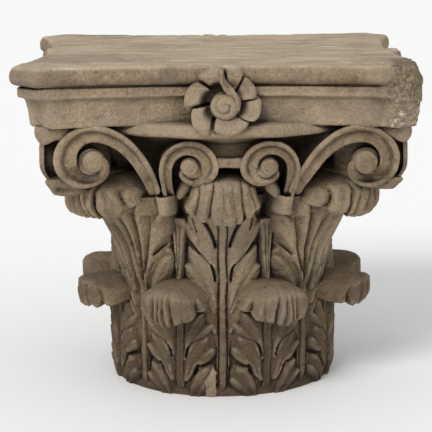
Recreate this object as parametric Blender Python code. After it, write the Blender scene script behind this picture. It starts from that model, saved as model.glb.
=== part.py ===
"""Carved stone Corinthian capital, one solid, in metres.

+Z is up and the origin is the centre of the lower bed. Azimuth 0 is the front face, which
looks along -Y, and azimuth grows towards +X. Each ornament is worked out as if it stood at
azimuth 0, with x to the right, d outwards from the axis and z up, and is then turned about
the axis to its own place. Every ornament is a closed body that overlaps its neighbours, and
one Boolean union makes them a single solid.
"""

import math

import bmesh
import bpy
import numpy as np

# Driving dimensions
WIDTH = 0.500  # across the abacus, horn to horn
HEIGHT = 0.429  # lower bed to upper bed
NECK_RADIUS = 0.1415  # foot of the bell, over the leaves
LIP_RADIUS = 0.2350  # rim of the bell, under the abacus

# Abacus: four hollowed sides that meet in chopped horns
ABACUS_FOOT = 0.3555  # underside of the abacus
SIDE_HOLLOW = 0.0285  # how far the middle of a side lies behind its horns
HORN_START = 0.2230  # distance from the middle of a side to its horn
SIDE_STEPS = 6  # straight lengths along a hollowed side
# Moulding from the top edge down: inset from the outermost line, and height
MOULDING = (
    (0.0100, HEIGHT),
    (0.0025, 0.4235),
    (0.0000, 0.4150),
    (0.0030, 0.4065),
    (0.0105, 0.4015),
    (0.0165, 0.3895),
    (0.0215, 0.3760),
    (0.0255, ABACUS_FOOT),
)

# Break at the front right horn: how far out its rough faces stand to the right and to the
# front, how much they lean back above the moulding's widest line, and where they start
BREAK_RIGHT = 0.2350
BREAK_FRONT = 0.2410
BREAK_LEAN = 0.45
BREAK_ROUGH = 0.0025
BREAK_START = (0.070, 0.165)

# Bell: the stone behind the leaves, turned about the axis (height, radius)
BELL_PROFILE = (
    (0.240, 0.138),
    (0.290, 0.156),
    (0.325, 0.182),
    (0.338, 0.205),
    (0.343, LIP_RADIUS - 0.001),
    (0.3500, LIP_RADIUS),
    (0.3585, LIP_RADIUS - 0.008),
)
BELL_SEGMENTS = 24

# Leaves
LEAVES = 8  # in each row
PITCH = 360.0 / LEAVES
ROW_HEIGHTS = (0.0, 0.038, 0.076, 0.114, 0.150, 0.186, 0.216, 0.240, 0.262)
COLUMN_OFFSETS = (-19.7, -11.25, -2.6, 0.0, 2.6, 11.25, 19.7, 22.5)
CORE_RADIUS = 0.1315
RIB = 0.0030  # how far a midrib stands out
GROOVE = 0.0060  # depth of the channel on each side of a midrib
LOBE = 0.0035  # swell of a side lobe
LOBE_PITCH = 0.043  # height from one side lobe to the next

# Curled leaf tips: wall radius, centre of the curl, its reach and half height, half width
# and how far the sides hang below the middle
LOWER_TIP = dict(wall=0.1430, centre=(0.1570, 0.1250), reach=0.0350, rise=0.0280,
                 half_width=0.0385, hang=0.0070)
SIDE_TIP = dict(wall=0.1560, centre=(0.1720, 0.2640), reach=0.0340, rise=0.0290,
                half_width=0.0480, hang=0.0040)
CORNER_TIP = dict(wall=0.1800, centre=(0.2070, 0.2620), reach=0.0360, rise=0.0310,
                  half_width=0.0500, hang=0.0040)
TIP_EDGE_DEG = -50.0  # where the curl ends
TIP_STATIONS = 7
FLUTE = 0.0030  # depth of the hollows between the lobes of a curl
NOTCH = 0.0065  # how far those hollows cut into its lower edge

# Scrolls: centre (x, z), radius to the middle of the band and half its width at each
# quarter turn, and the foot of the stem
EYE_SIDES = 7
STRAP_BACK = 0.1560  # back of the bands, from the axis
STRAP_BACK_CORNER = 0.1860  # and of the volutes, in front of the corner stone
EYE_DEPTH = 0.0200
VOLUTE = dict(centre=(0.1564, 0.3125), start_deg=90.0,
              radii=(0.0355, 0.0325, 0.0216, 0.0148, 0.0125),
              halves=(0.0107, 0.0135, 0.0086, 0.0055, 0.0045),
              stem=((0.0825, 0.2660), (0.0865, 0.3050), (0.1164, 0.3480)),
              stem_half=0.0080, eye=0.0165, quarters=3.0, taper=0.0150,
              section=((1, 0.0, 0), (1, -0.009, 0), (1, None, 1), (-1, None, 0), (-1, -0.005, 0)))
HELIX = dict(centre=(0.0460, 0.3090), start_deg=0.0,
             radii=(0.0286, 0.0245, 0.0240, 0.0158, 0.0115),
             halves=(0.0069, 0.0088, 0.0119, 0.0068, 0.0050),
             stem=((0.0690, 0.2620), (0.0692, 0.2780), (0.0746, 0.2960)),
             stem_half=0.0058, eye=0.0118, quarters=3.0, taper=0.0,
             section=((1, 0.0, 0), (1, None, 0), (-1, None, 0), (-1, -0.005, 0)))
STRAP_FOOT_DEPTH = 0.1720  # face of the bands where they spring
STRAP_FACE_DEPTH = 0.2115  # face of the scrolls
STRAP_CORNER_GAIN = 0.0070  # more than that at the corners

# Calyx cups, under the springing of each pair of bands
CUP_HEIGHTS = (0.2430, 0.2640)
CUP_HALF_WIDTHS = (0.0105, 0.0135)
CUP_DEPTHS = (0.1760, 0.1830)
CUP_BACK = 0.1400
STALK_FOOT = 0.1400
STALK_TOP = 0.2300

# Flowers in the middle of the abacus sides
FLOWER_HEIGHT = 0.3830
FLOWER_RADIUS = 0.0440
FLOWER_PETALS = 6
FLOWER_BACK = 0.1900

# Corner stone behind each pair of volutes, and the small leaf under each horn
POST_RANGE = (0.1700, 0.2750)
POST_HEIGHTS = (0.2850, 0.3600)
POST_HALF = 0.0300
CONSOLE_RANGE = (0.2300, 0.3080)
CONSOLE_HEIGHTS = (0.3340, 0.3600)
CONSOLE_HALF = 0.0230

FLAT_ANGLE = 0.002  # radians between faces that count as one flat

STONE_COLOUR = (0.250, 0.196, 0.138, 1.0)
STONE_ROUGHNESS = 0.9


def clear_scene():
    """Empty the file of the objects it starts with."""
    for item in list(bpy.data.objects):
        bpy.data.objects.remove(item, do_unlink=True)


def stone_material():
    """Weathered warm grey limestone."""
    material = bpy.data.materials.new("limestone")
    material.use_nodes = True
    shader = material.node_tree.nodes["Principled BSDF"]
    shader.inputs["Base Color"].default_value = STONE_COLOUR
    shader.inputs["Roughness"].default_value = STONE_ROUGHNESS
    shader.inputs["Metallic"].default_value = 0.0
    return material


def smooth_step(value):
    """0 below 0, 1 above 1, and a smooth curve between."""
    value = np.clip(value, 0.0, 1.0)
    return value * value * (3.0 - 2.0 * value)


def bump(value, width):
    """A bell curve of height 1 at 0, which falls off over the width."""
    return np.exp(-(value / width) ** 2)


def turned(points, azimuth):
    """Points given as (x to the right, d outwards, z up) at azimuth 0, turned to an azimuth."""
    angle = math.radians(azimuth)
    x, d, z = points[..., 0], points[..., 1], points[..., 2]
    return np.stack(
        [
            x * math.cos(angle) + d * math.sin(angle),
            x * math.sin(angle) - d * math.cos(angle),
            z,
        ],
        axis=-1,
    )


def closed_mesh(name, points, faces):
    """An object from points and faces, in triangles, with its faces pointing out."""
    mesh = bpy.data.meshes.new(name)
    mesh.from_pydata([tuple(point) for point in points], [], faces)
    work = bmesh.new()
    work.from_mesh(mesh)
    bmesh.ops.triangulate(work, faces=work.faces)
    bmesh.ops.recalc_face_normals(work, faces=work.faces)
    work.to_mesh(mesh)
    work.free()
    item = bpy.data.objects.new(name, mesh)
    bpy.context.collection.objects.link(item)
    return item


def loft(name, sections):
    """Join closed sections, each a row of points, and cap the first and the last."""
    count, size = sections.shape[:2]
    faces = []
    for row in range(count - 1):
        for column in range(size):
            after = (column + 1) % size
            faces.append(
                (
                    row * size + column,
                    row * size + after,
                    (row + 1) * size + after,
                    (row + 1) * size + column,
                )
            )
    faces.append(tuple(range(size - 1, -1, -1)))
    faces.append(tuple(range((count - 1) * size, count * size)))
    return closed_mesh(name, sections.reshape(-1, 3), faces)


def side_outline():
    """Outermost line of one side, x and d, from the middle of its left horn to the right.

    The side is a parabola, hollowed by SIDE_HOLLOW between its horns.
    """
    x = np.linspace(-HORN_START, HORN_START, SIDE_STEPS + 1)
    d = WIDTH / 2 - SIDE_HOLLOW * (1.0 - (x / HORN_START) ** 2)
    return x, d


def break_away(points):
    """Cut the front right horn back to two rough faces that lean in towards the top."""
    x, y, z = points[..., 0], points[..., 1], points[..., 2]
    rough = BREAK_ROUGH * np.sin(310.0 * z + 130.0 * x - 90.0 * y)
    lean = BREAK_LEAN * np.maximum(z - 0.405, 0.0) + rough
    behind = smooth_step((-y - BREAK_START[0]) / 0.06) * (x > 0.1)
    beside = smooth_step((x - BREAK_START[1]) / 0.03) * (y < -0.1)
    moved = points.copy()
    moved[..., 0] -= np.maximum(x - (BREAK_RIGHT - lean), 0.0) * behind
    moved[..., 1] += np.maximum(-y - (BREAK_FRONT - lean), 0.0) * beside
    return moved


def abacus():
    """The moulding carried round the hollowed sides and chopped horns, with flat beds."""
    x, d = side_outline()
    sections = []
    for inset, height in MOULDING:
        ring = []
        for side in range(4):
            shrink = 1.0 - inset / HORN_START
            row = np.stack([x * shrink, d - inset, np.full_like(x, height)], axis=-1)
            ring.append(turned(row, 90.0 * side))
        sections.append(np.concatenate(ring))
    return loft("abacus", break_away(np.array(sections)))


def bell():
    """The bell above the leaves with its rim, turned about the axis."""
    angles = np.arange(BELL_SEGMENTS) * 2.0 * math.pi / BELL_SEGMENTS
    sections = []
    for height, radius in BELL_PROFILE:
        ring = [radius * np.cos(angles), radius * np.sin(angles), np.full_like(angles, height)]
        sections.append(np.stack(ring, axis=-1))
    return loft("bell", np.array(sections))


def leaf_relief(offset, height, first_lobe):
    """Midrib, the channels beside it and the side lobes of a leaf, by degrees and height."""
    away = np.abs(offset)
    rib = RIB * bump(offset, 1.3) - GROOVE * bump(away - 2.6, 1.0)
    phase = (height - first_lobe) / LOBE_PITCH - away / 16.0
    lobes = LOBE * np.cos(2.0 * math.pi * phase) * smooth_step((away - 3.0) / 4.0)
    return rib + lobes


def leaf_zone_radius(azimuth, height):
    """Radius of the stone where both rows of leaves lie against the bell.

    The larger of the plain core, the lower leaf, the upper leaf and the stalk between the
    upper leaves. Upper leaves on the corners lean out more than those on the faces.
    """
    nearest = np.round(azimuth / PITCH)
    upper = azimuth - nearest * PITCH
    lower = (azimuth % PITCH) - PITCH / 2
    lean_side = np.interp(height, (0.0, 0.150, 0.200, 0.235, 0.262), (0, 0.001, 0.006, 0.019, 0.034))
    lean_corner = np.interp(height, (0.0, 0.135, 0.196, 0.227, 0.262), (0, 0.001, 0.026, 0.046, 0.072))
    on_corner = (nearest % 2) == 1
    lean = np.where(on_corner, lean_corner, lean_side)
    upper_face = NECK_RADIUS + lean + leaf_relief(upper, height, 0.020)
    upper_face -= 0.007 * (upper / 18.0) ** 2 * (1.0 + lean / 0.02)
    upper_half = np.interp(height, (0.0, 0.150, 0.200, 0.262), (3.0, 17.0, 19.9, 16.0))
    lower_face = np.interp(height, (0.0, 0.060, 0.120, 0.150), (0.1415, 0.1455, 0.1490, 0.1500))
    lower_face = lower_face + leaf_relief(lower, height, 0.0)
    lower_half = np.interp(height, (0.0, 0.050, 0.150), (20.5, 20.0, 14.0))
    stalk_face = np.interp(height, (STALK_FOOT, STALK_TOP), (0.1440, 0.1520))
    radius = np.full_like(azimuth, CORE_RADIUS)
    radius = np.where(np.abs(upper) <= upper_half, np.maximum(radius, upper_face), radius)
    in_lower = (np.abs(lower) <= lower_half) & (height < 0.150)
    radius = np.where(in_lower, np.maximum(radius, lower_face), radius)
    in_stalk = (np.abs(lower) < 2.0) & (height > STALK_FOOT) & (height < STALK_TOP)
    return np.where(in_stalk, np.maximum(radius, stalk_face), radius)


def leaf_zone():
    """Both rows of leaves where they lie on the bell, as one carved drum."""
    azimuths = np.concatenate([PITCH * leaf + np.array(COLUMN_OFFSETS) for leaf in range(LEAVES)])
    sections = []
    for height in ROW_HEIGHTS:
        radius = leaf_zone_radius(azimuths, np.full_like(azimuths, height))
        angle = np.radians(azimuths)
        ring = [radius * np.sin(angle), -radius * np.cos(angle), np.full_like(angle, height)]
        sections.append(np.stack(ring, axis=-1))
    return loft("leaf_zone", np.array(sections))


def leaf_tip(name, azimuth, wall, centre, reach, rise, half_width, hang):
    """A leaf's curled tip: a hollow claw that closes towards its sides.

    The outer line is an arc from straight up to TIP_EDGE_DEG about the curl's centre, and
    the under side goes back to the wall inside it. Away from the middle the arc shrinks and
    its centre hangs lower. Flutes part the curl into lobes.
    """
    arc = np.radians(np.array([90.0, 45.0, 0.0, TIP_EDGE_DEG]))
    out = np.concatenate([[0.0], np.cos(arc), [0.30, 0.0]])
    up = np.concatenate([[0.85], np.sin(arc), [-0.25, -0.95]])
    at_wall = np.array([1, 0, 0, 0, 0, 0, 1], dtype=bool)
    at_edge = np.array([0, 0, 0.3, 0.8, 1.0, 0.3, 0.0])
    sections = []
    for across in np.linspace(-1.0, 1.0, TIP_STATIONS):
        lobe = 0.5 + 0.5 * math.cos(3.0 * math.pi * across)
        shrink = math.sqrt(1.0 - 0.86 * across * across)
        here = math.sqrt(wall**2 - (half_width * across) ** 2)
        d = here + shrink * (centre[0] - wall + reach * out)
        d = np.where(at_wall, here - 0.014, d - FLUTE * (1.0 - lobe) * at_edge)
        z = centre[1] - hang * across * across + rise * up * shrink
        z = z + NOTCH * (1.0 - lobe) * at_edge
        x = np.full_like(d, half_width * across)
        sections.append(np.stack([x, d, z], axis=-1))
    return loft(name, turned(np.array(sections), azimuth))


def bezier(points, steps):
    """Points of a cubic curve, without its last one."""
    t = np.linspace(0.0, 1.0, steps, endpoint=False)[:, None]
    a, b, c, d = [np.array(point) for point in points]
    return (1 - t) ** 3 * a + 3 * t * (1 - t) ** 2 * b + 3 * t * t * (1 - t) * c + t**3 * d


def strap_face(x, z):
    """Distance from the axis to the face of a band: it springs near the bell and leans out."""
    full = STRAP_FACE_DEPTH + STRAP_CORNER_GAIN * (x / 0.2) ** 2
    return STRAP_FOOT_DEPTH + (full - STRAP_FOOT_DEPTH) * smooth_step((z - 0.255) / 0.055)


def strap_back(x):
    """Distance from the axis to the back of a band."""
    return STRAP_BACK + (STRAP_BACK_CORNER - STRAP_BACK) * smooth_step((x - 0.095) / 0.04)


def scroll_line(spec, turn_steps):
    """Middle line (x, z) of a band and half its width: a stem, then a closing spiral."""
    centre = np.array(spec["centre"])
    quarters = np.linspace(0.0, spec["quarters"], turn_steps)
    radius = np.interp(quarters, range(5), spec["radii"])
    half = np.interp(quarters, range(5), spec["halves"])
    way = -1.0 if spec["start_deg"] == 90.0 else 1.0
    angle = np.radians(spec["start_deg"]) + way * quarters * math.pi / 2
    spiral = centre + radius[:, None] * np.stack([np.cos(angle), np.sin(angle)], axis=-1)
    stem = bezier(list(spec["stem"]) + [spiral[0]], 3)
    stem_half = np.linspace(spec["stem_half"], half[0], 3, endpoint=False)
    return np.concatenate([stem, spiral]), np.concatenate([stem_half, half]), way


def scroll_band(name, spec, azimuth, hand):
    """The band of a scroll: its face hollowed between two edges, its back narrower."""
    line, half, way = scroll_line(spec, 8)
    along = np.gradient(line, axis=0)
    along /= np.linalg.norm(along, axis=1)[:, None]
    outer = np.stack([-along[:, 1], along[:, 0]], axis=-1)
    taper = np.minimum(spec["taper"], 1.2 * half)
    rows = []
    for side, depth, pull in spec["section"]:
        place = line - way * outer * (side * half - pull * taper)[:, None]
        face = strap_face(line[:, 0], line[:, 1])
        d = strap_back(line[:, 0]) if depth is None else face + depth
        rows.append(np.stack([place[:, 0], d, place[:, 1]], axis=-1))
    sections = np.stack(rows, axis=1)
    sections[..., 0] *= hand
    return loft(name, turned(sections, azimuth))


def scroll_eye(name, spec, azimuth, hand):
    """The button in the middle of a scroll: a short drum with a low crown."""
    angles = np.arange(EYE_SIDES) * 2.0 * math.pi / EYE_SIDES
    face = strap_face(spec["centre"][0], spec["centre"][1])
    sections = []
    for scale, depth in ((0.9, face - EYE_DEPTH), (1.0, face - 0.002), (0.55, face + 0.003)):
        x = spec["centre"][0] + scale * spec["eye"] * np.cos(angles)
        z = spec["centre"][1] + scale * spec["eye"] * np.sin(angles)
        sections.append(np.stack([x * hand, np.full_like(x, depth), z], axis=-1))
    return loft(name, turned(np.array(sections), azimuth))


def cup(name, azimuth):
    """The small cup that a pair of bands springs from."""
    sections = []
    for height, half, depth in zip(CUP_HEIGHTS, CUP_HALF_WIDTHS, CUP_DEPTHS):
        ring = [
            (-half, CUP_BACK, height),
            (-half, depth - 0.006, height),
            (-0.4 * half, depth, height),
            (0.4 * half, depth, height),
            (half, depth - 0.006, height),
            (half, CUP_BACK, height),
        ]
        sections.append(ring)
    return loft(name, turned(np.array(sections), azimuth))


def flower(name, azimuth):
    """A flower of whirling petals about a raised bud."""
    count = FLOWER_PETALS * 3
    angles = np.arange(count) * 2.0 * math.pi / count
    petal = np.tile([1.0, 0.97, 0.80], FLOWER_PETALS)
    swell = np.tile([1.0, 0.4, 0.0], FLOWER_PETALS)
    rings = (
        (FLOWER_RADIUS * petal, np.full(count, FLOWER_BACK)),
        (FLOWER_RADIUS * petal, 0.2230 + 0.011 * swell),
        (np.full(count, 0.0180), 0.2240 + 0.003 * swell),
        (np.full(count, 0.0120), np.full(count, 0.2420)),
    )
    sections = []
    for radius, depth in rings:
        x = radius * np.cos(angles)
        z = FLOWER_HEIGHT + radius * np.sin(angles)
        sections.append(np.stack([x, depth, z], axis=-1))
    return loft(name, turned(np.array(sections), azimuth))


def diagonal_block(name, azimuth, reach, heights, half, nose):
    """A block that runs out along a diagonal and narrows to its nose, rounded below."""
    sections = []
    for height, end in ((heights[0], nose), (heights[0] + 0.006, 0.0), (heights[1], 0.0)):
        ring = [
            (-half, reach[0], height),
            (-half, reach[1] - 0.018 - end, height),
            (-0.45 * half, reach[1] - end, height),
            (0.45 * half, reach[1] - end, height),
            (half, reach[1] - 0.018 - end, height),
            (half, reach[0], height),
        ]
        sections.append(ring)
    return loft(name, turned(np.array(sections), azimuth))


def ornaments():
    """Every body of the capital apart from the abacus, which the union starts from."""
    bodies = [bell(), leaf_zone()]
    for leaf in range(LEAVES):
        bodies.append(leaf_tip(f"lower_tip_{leaf}", PITCH * (leaf + 0.5), **LOWER_TIP))
        spec = CORNER_TIP if leaf % 2 else SIDE_TIP
        bodies.append(leaf_tip(f"upper_tip_{leaf}", PITCH * leaf, **spec))
        bodies.append(cup(f"cup_{leaf}", PITCH * (leaf + 0.5)))
    for side in range(4):
        azimuth = 90.0 * side
        for hand in (-1, 1):
            for kind, spec in (("volute", VOLUTE), ("helix", HELIX)):
                name = f"{kind}_{side}_{hand}"
                bodies.append(scroll_band(name, spec, azimuth, hand))
                bodies.append(scroll_eye(name + "_eye", spec, azimuth, hand))
        bodies.append(flower(f"flower_{side}", azimuth))
        corner = azimuth + 45.0
        bodies.append(diagonal_block(f"post_{side}", corner, POST_RANGE, POST_HEIGHTS, POST_HALF, 0.0))
        bodies.append(
            diagonal_block(f"console_{side}", corner, CONSOLE_RANGE, CONSOLE_HEIGHTS, CONSOLE_HALF, 0.02)
        )
    return bodies


def joined(base, bodies):
    """The union of the base with every other body, as one mesh on the base."""
    cutters = bpy.data.collections.new("bodies")
    bpy.context.scene.collection.children.link(cutters)
    for body in bodies:
        bpy.context.collection.objects.unlink(body)
        cutters.objects.link(body)
    union = base.modifiers.new("union", "BOOLEAN")
    union.operation = "UNION"
    union.operand_type = "COLLECTION"
    union.solver = "EXACT"
    union.collection = cutters
    graph = bpy.context.evaluated_depsgraph_get()
    mesh = bpy.data.meshes.new_from_object(base.evaluated_get(graph))
    base.modifiers.clear()
    base.data = mesh
    for body in bodies:
        bpy.data.objects.remove(body, do_unlink=True)
    bpy.data.collections.remove(cutters)
    return base


def without_splits(item):
    """Dissolve the seams that the union leaves across flat stone, and make triangles."""
    work = bmesh.new()
    work.from_mesh(item.data)
    bmesh.ops.dissolve_limit(work, angle_limit=FLAT_ANGLE, verts=work.verts, edges=work.edges)
    bmesh.ops.triangulate(work, faces=work.faces)
    work.to_mesh(item.data)
    work.free()


def main():
    clear_scene()
    capital = joined(abacus(), ornaments())
    capital.name = "capital"
    without_splits(capital)
    capital.data.materials.clear()
    capital.data.materials.append(stone_material())
    print("triangles", sum(len(face.vertices) - 2 for face in capital.data.polygons))


main()
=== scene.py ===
"""Finish of a carved limestone Corinthian capital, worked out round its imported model.

Metres, +Z up, origin at the centre of the lower bed. Azimuth 0 is the front face, which looks
along -Y, and azimuth grows towards +X. Each ornament is worked out as if it stood at azimuth
0, with x to the right, d outwards from the axis and z up, and is then turned to its place.
A curve is a row of places, mostly heights, and a row of values that is read between them.
"""
import math

import bpy
import numpy as np
from mathutils import Matrix, Vector


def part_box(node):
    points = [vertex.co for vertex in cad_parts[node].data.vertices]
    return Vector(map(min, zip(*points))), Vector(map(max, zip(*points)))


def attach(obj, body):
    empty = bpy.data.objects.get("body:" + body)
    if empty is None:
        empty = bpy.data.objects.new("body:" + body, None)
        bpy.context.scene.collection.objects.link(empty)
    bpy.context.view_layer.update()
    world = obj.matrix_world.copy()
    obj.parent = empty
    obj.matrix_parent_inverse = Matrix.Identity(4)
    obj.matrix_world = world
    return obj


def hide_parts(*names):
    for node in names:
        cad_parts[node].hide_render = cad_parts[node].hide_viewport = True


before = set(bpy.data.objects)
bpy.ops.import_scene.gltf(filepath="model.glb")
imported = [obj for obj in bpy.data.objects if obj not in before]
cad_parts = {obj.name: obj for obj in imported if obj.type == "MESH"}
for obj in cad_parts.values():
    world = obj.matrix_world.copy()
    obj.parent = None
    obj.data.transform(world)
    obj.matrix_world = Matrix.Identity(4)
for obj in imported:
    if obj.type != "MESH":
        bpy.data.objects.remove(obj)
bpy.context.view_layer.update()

LOW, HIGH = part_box("capital")
WIDTH = float(HIGH[0] - LOW[0])
HEIGHT = float(HIGH[2] - LOW[2])

# Leaves
LEAVES = 8  # in each row
PITCH = 360.0 / LEAVES
LEAF_RADIUS = 0.15  # where the width of a leaf is measured
ARC = math.radians(1.0) * LEAF_RADIUS  # metres along the stone for each degree
NECK_RADIUS = 0.1415
DRUM_COLUMNS = 880
SEAM_HEIGHT = 0.128  # where the lower part of the leaf drum meets the upper
DRUM_TOP = 0.262
DRUM_STEP = 0.0014
# How the two parts of the drum draw in where they meet, row by row
FOOT_TUCK = (0.0, -0.0002, -0.001, -0.0035)
HEAD_TUCK = (-0.004, -0.0015, -0.0004)
LOBE_STEPS = 32
CUT_STEPS = 24
TIP_COLUMNS = 116
ARC_STEPS = 21  # over the curl of a leaf tip
FALL_STEPS = 25  # down its face
UNDER_STEPS = 10  # and back under it
SUNK = 0.014  # how deep a leaf tip is set in the wall

# Curves of the leaf drum
CORE = ((0.0, 0.006, 0.014, 0.022), (0.1418, 0.1405, 0.1345, 0.1315))
SIDE_LEAN = ((0.0, 0.15, 0.2, 0.235, 0.262), (-0.003, -0.002, 0.001, 0.015, 0.034))
CORNER_LEAN = ((0.0, 0.135, 0.196, 0.227, 0.262), (-0.003, 0.001, 0.026, 0.046, 0.072))
LOWER_FACE = ((0.0, 0.06, 0.12, 0.15), (0.1388, 0.1398, 0.1412, 0.144))
STALK_HALF = ((0.145, 0.16, 0.18, 0.205, 0.226), (0.0032, 0.0036, 0.0047, 0.007, 0.0108))
STALK_FACE = ((0.14, 0.222, 0.226), (0.1435, 0.148, 0.1505))
LOWER_GROOVE = ((0.0, 0.03, 0.05), (0.0105, 0.0092, 0.008))

# Chip at the foot, left of the front rib
CHIP_PLACE = 0.0162
CHIP_TOP = 0.04
CHIP_HALF = ((0.0, 0.01, 0.022, 0.032, 0.038), (0.0092, 0.0082, 0.0095, 0.006, 0.0015))
CHIP_LEAN = ((0.0, 0.012, 0.022, 0.032, 0.04), (0.0005, -0.0005, -0.002, 0.002, 0.0045))

# Abacus
ABACUS_COLUMNS = 424
ABACUS_FOOT = 0.3555
SIDE_HOLLOW = 0.0285
HORN_START = 0.223
HORN_ROUND = 0.008
HORN_STRETCH = 0.0022  # added at the horns, which the rounding draws in
# Moulding from the top edge down: inset from the outermost line, and height
MOULDING = (
    (0.0135, HEIGHT), (0.0095, HEIGHT), (0.0056, 0.4276), (0.0026, 0.425), (0.0008, 0.421),
    (0.0, 0.4165), (0.0005, 0.412), (0.0022, 0.4084), (0.0054, 0.4064), (0.0096, 0.4056),
    (0.0122, 0.405), (0.0124, 0.404), (0.0098, 0.4033), (0.0084, 0.4018), (0.0084, 0.3935),
    (0.0094, 0.3915), (0.014, 0.3902), (0.0162, 0.388), (0.018, 0.382), (0.0192, 0.374),
    (0.0202, 0.365), (0.021, 0.358), (0.0226, 0.3556), (0.027, ABACUS_FOOT),
)

# Break at the front right horn
BREAK_MIDDLE = (0.24, -0.225)
BREAK_REACH = (0.052, 0.11)
BREAK_RIGHT = 0.235
BREAK_FRONT = 0.241
BREAK_LEAN = 0.45
BREAK_FOOT = 0.26
BREAK_START = (0.07, 0.165)
BREAK_INSET = 0.0085

# Bell: height and radius
BELL_PROFILE = (
    (0.238, 0.131), (0.25, 0.138), (0.27, 0.147), (0.29, 0.156), (0.308, 0.168),
    (0.322, 0.18), (0.332, 0.194), (0.3395, 0.21), (0.3428, 0.224), (0.3442, 0.2316),
    (0.346, 0.2343), (0.3485, 0.2347), (0.3512, 0.2336), (0.3545, 0.2318), (0.358, 0.23),
    (0.36, 0.22),
)

# How much fuller than true the right side is, and the left, by height
RIGHT_SWELL = ((0.0, 0.15, 0.19, 0.235, 0.265, 0.34, 0.352),
               (1.054, 1.048, 1.008, 1.0, 1.009, 1.009, 1.0))
LEFT_WAIST = ((0.15, 0.185, 0.22, 0.245), (1.0, 0.982, 0.982, 1.0))

# Curled leaf tips. A pair holds the value in the middle of the tip and at its ends.
# A crease is its place across the tip from -1 to 1, its depth, how far it notches the edge, and
# how much shorter the roll after it is
LOWER_CREASES = (
    (-1.0, 0.004, 0.06, 0.36), (-0.86, 0.0105, 0.55, 0.14), (-0.52, 0.0024, 0.04, 0.1),
    (-0.19, 0.0062, 0.2, 0.02), (0.03, 0.0042, 0.08, 0.0), (0.16, 0.004, 0.06, 0.03),
    (0.3, 0.0062, 0.22, 0.12), (0.7, 0.01, 0.5, 0.32), (1.0, 0.004, 0.06, 0.0),
)
UPPER_CREASES = (
    (-1.0, 0.004, 0.06, 0.24), (-0.68, 0.0066, 0.24, 0.13), (-0.29, 0.007, 0.3, 0.0),
    (0.01, 0.002, 0.06, 0.0), (0.26, 0.0024, 0.06, 0.02), (0.49, 0.007, 0.3, 0.17),
    (0.8, 0.0066, 0.24, 0.28), (1.0, 0.004, 0.06, 0.0),
)
CORNER_CREASES = (
    (-1.0, 0.005, 0.1, 0.26), (-0.8, 0.009, 0.4, 0.06), (-0.62, 0.0016, 0.02, 0.0),
    (-0.46, 0.0105, 0.42, 0.0), (-0.28, 0.003, 0.04, 0.0), (-0.08, 0.003, 0.04, 0.0),
    (0.12, 0.003, 0.04, 0.0), (0.3, 0.003, 0.04, 0.0), (0.46, 0.0105, 0.42, 0.0),
    (0.62, 0.0016, 0.02, 0.0), (0.8, 0.009, 0.4, 0.26), (1.0, 0.005, 0.1, 0.0),
)
FAR_CREASES = (
    (-1.0, 0.004, 0.06, 0.08), (-0.74, 0.0062, 0.42, 0.04), (-0.36, 0.0052, 0.3, 0.0),
    (-0.02, 0.003, 0.1, 0.0), (0.34, 0.0056, 0.34, 0.03), (0.7, 0.0064, 0.44, 0.08),
    (1.0, 0.004, 0.06, 0.0),
)
LOWER_TIP = dict(
    wall=0.143, front=(0.196, 0.178), top=(0.1525, 0.136), middle=(0.136, 0.126),
    lip=(0.0995, 0.1065), half_width=0.05, waist=0.9, start=0.44, fan=0.1, tuck=0.1,
    flare=0.0, roundness=4.5, creases=LOWER_CREASES)
FAR_TIP = dict(
    LOWER_TIP, top=(0.1462, 0.1325), lip=(0.099, 0.101), start=0.3, creases=FAR_CREASES)
SIDE_TIP = dict(
    wall=0.154, front=(0.205, 0.19), top=(0.296, 0.288), middle=(0.276, 0.272),
    lip=(0.231, 0.234), half_width=0.0512, waist=0.8, start=0.6, fan=-0.08, tuck=0.06,
    flare=0.0075, roundness=6.0, creases=UPPER_CREASES)
CORNER_TIP = dict(
    wall=0.18, front=(0.254, 0.208), top=(0.29, 0.282), middle=(0.27, 0.266),
    lip=(0.237, 0.243), half_width=0.06, waist=0.86, start=0.62, fan=0.0, tuck=0.2,
    flare=0.0, roundness=6.0, creases=CORNER_CREASES)
# How much higher the lip of each lower tip hangs
LOWER_RAISED = (0.0, 0.004, 0.001, 0.003, 0.002, 0.004, 0.004, 0.0)

# Scrolls: radius to the middle of the band and half its width at each quarter turn
STEM_STEPS = 30
SCROLL_STEPS = 100
STRAP_BACK = 0.156
STRAP_BACK_CORNER = 0.186
STRAP_FOOT_DEPTH = 0.172
STRAP_FACE_DEPTH = 0.2115
STRAP_CORNER_GAIN = 0.007
VOLUTE = dict(
    centre=(0.1564, 0.3125), start_deg=90.0, radii=(0.0355, 0.0318, 0.0232, 0.0138, 0.0115),
    halves=(0.0107, 0.0142, 0.0074, 0.0058, 0.0036),
    stem=((0.0825, 0.264), (0.0865, 0.305), (0.1164, 0.348)), stem_half=0.008,
    eye=0.0132, eye_shift=(-0.0018, 0.0016), eye_phase=0.1, backing=(0.0022, 0.0, 0.016),
    quarters=3.5, taper=0.015, rim=0.3, roll_start=1.7, roll_end=2.5)
VOLUTE_RIGHT = dict(
    VOLUTE, centre=(0.1653, 0.3115), radii=(0.0357, 0.0307, 0.024, 0.0105, 0.0085),
    halves=(0.0111, 0.0113, 0.0074, 0.005, 0.003),
    stem=((0.085, 0.264), (0.0905, 0.295), (0.122, 0.348)),
    eye=0.014, eye_shift=(0.0022, 0.0006), backing=(0.004, 0.0, 0.016))
HELIX = dict(
    centre=(0.0477, 0.3033), start_deg=0.0, radii=(0.0288, 0.0259, 0.0252, 0.0166, 0.008),
    halves=(0.0076, 0.009, 0.0106, 0.005, 0.003),
    stem=((0.0712, 0.26), (0.0745, 0.274), (0.0765, 0.29)), stem_half=0.006,
    eye=0.0108, eye_shift=(0.0, 0.0026), eye_phase=0.6, backing=(-0.0034, 0.0014, 0.014),
    quarters=4.0, taper=0.0, rim=0.32, roll_start=1.9, roll_end=2.7)
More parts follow.
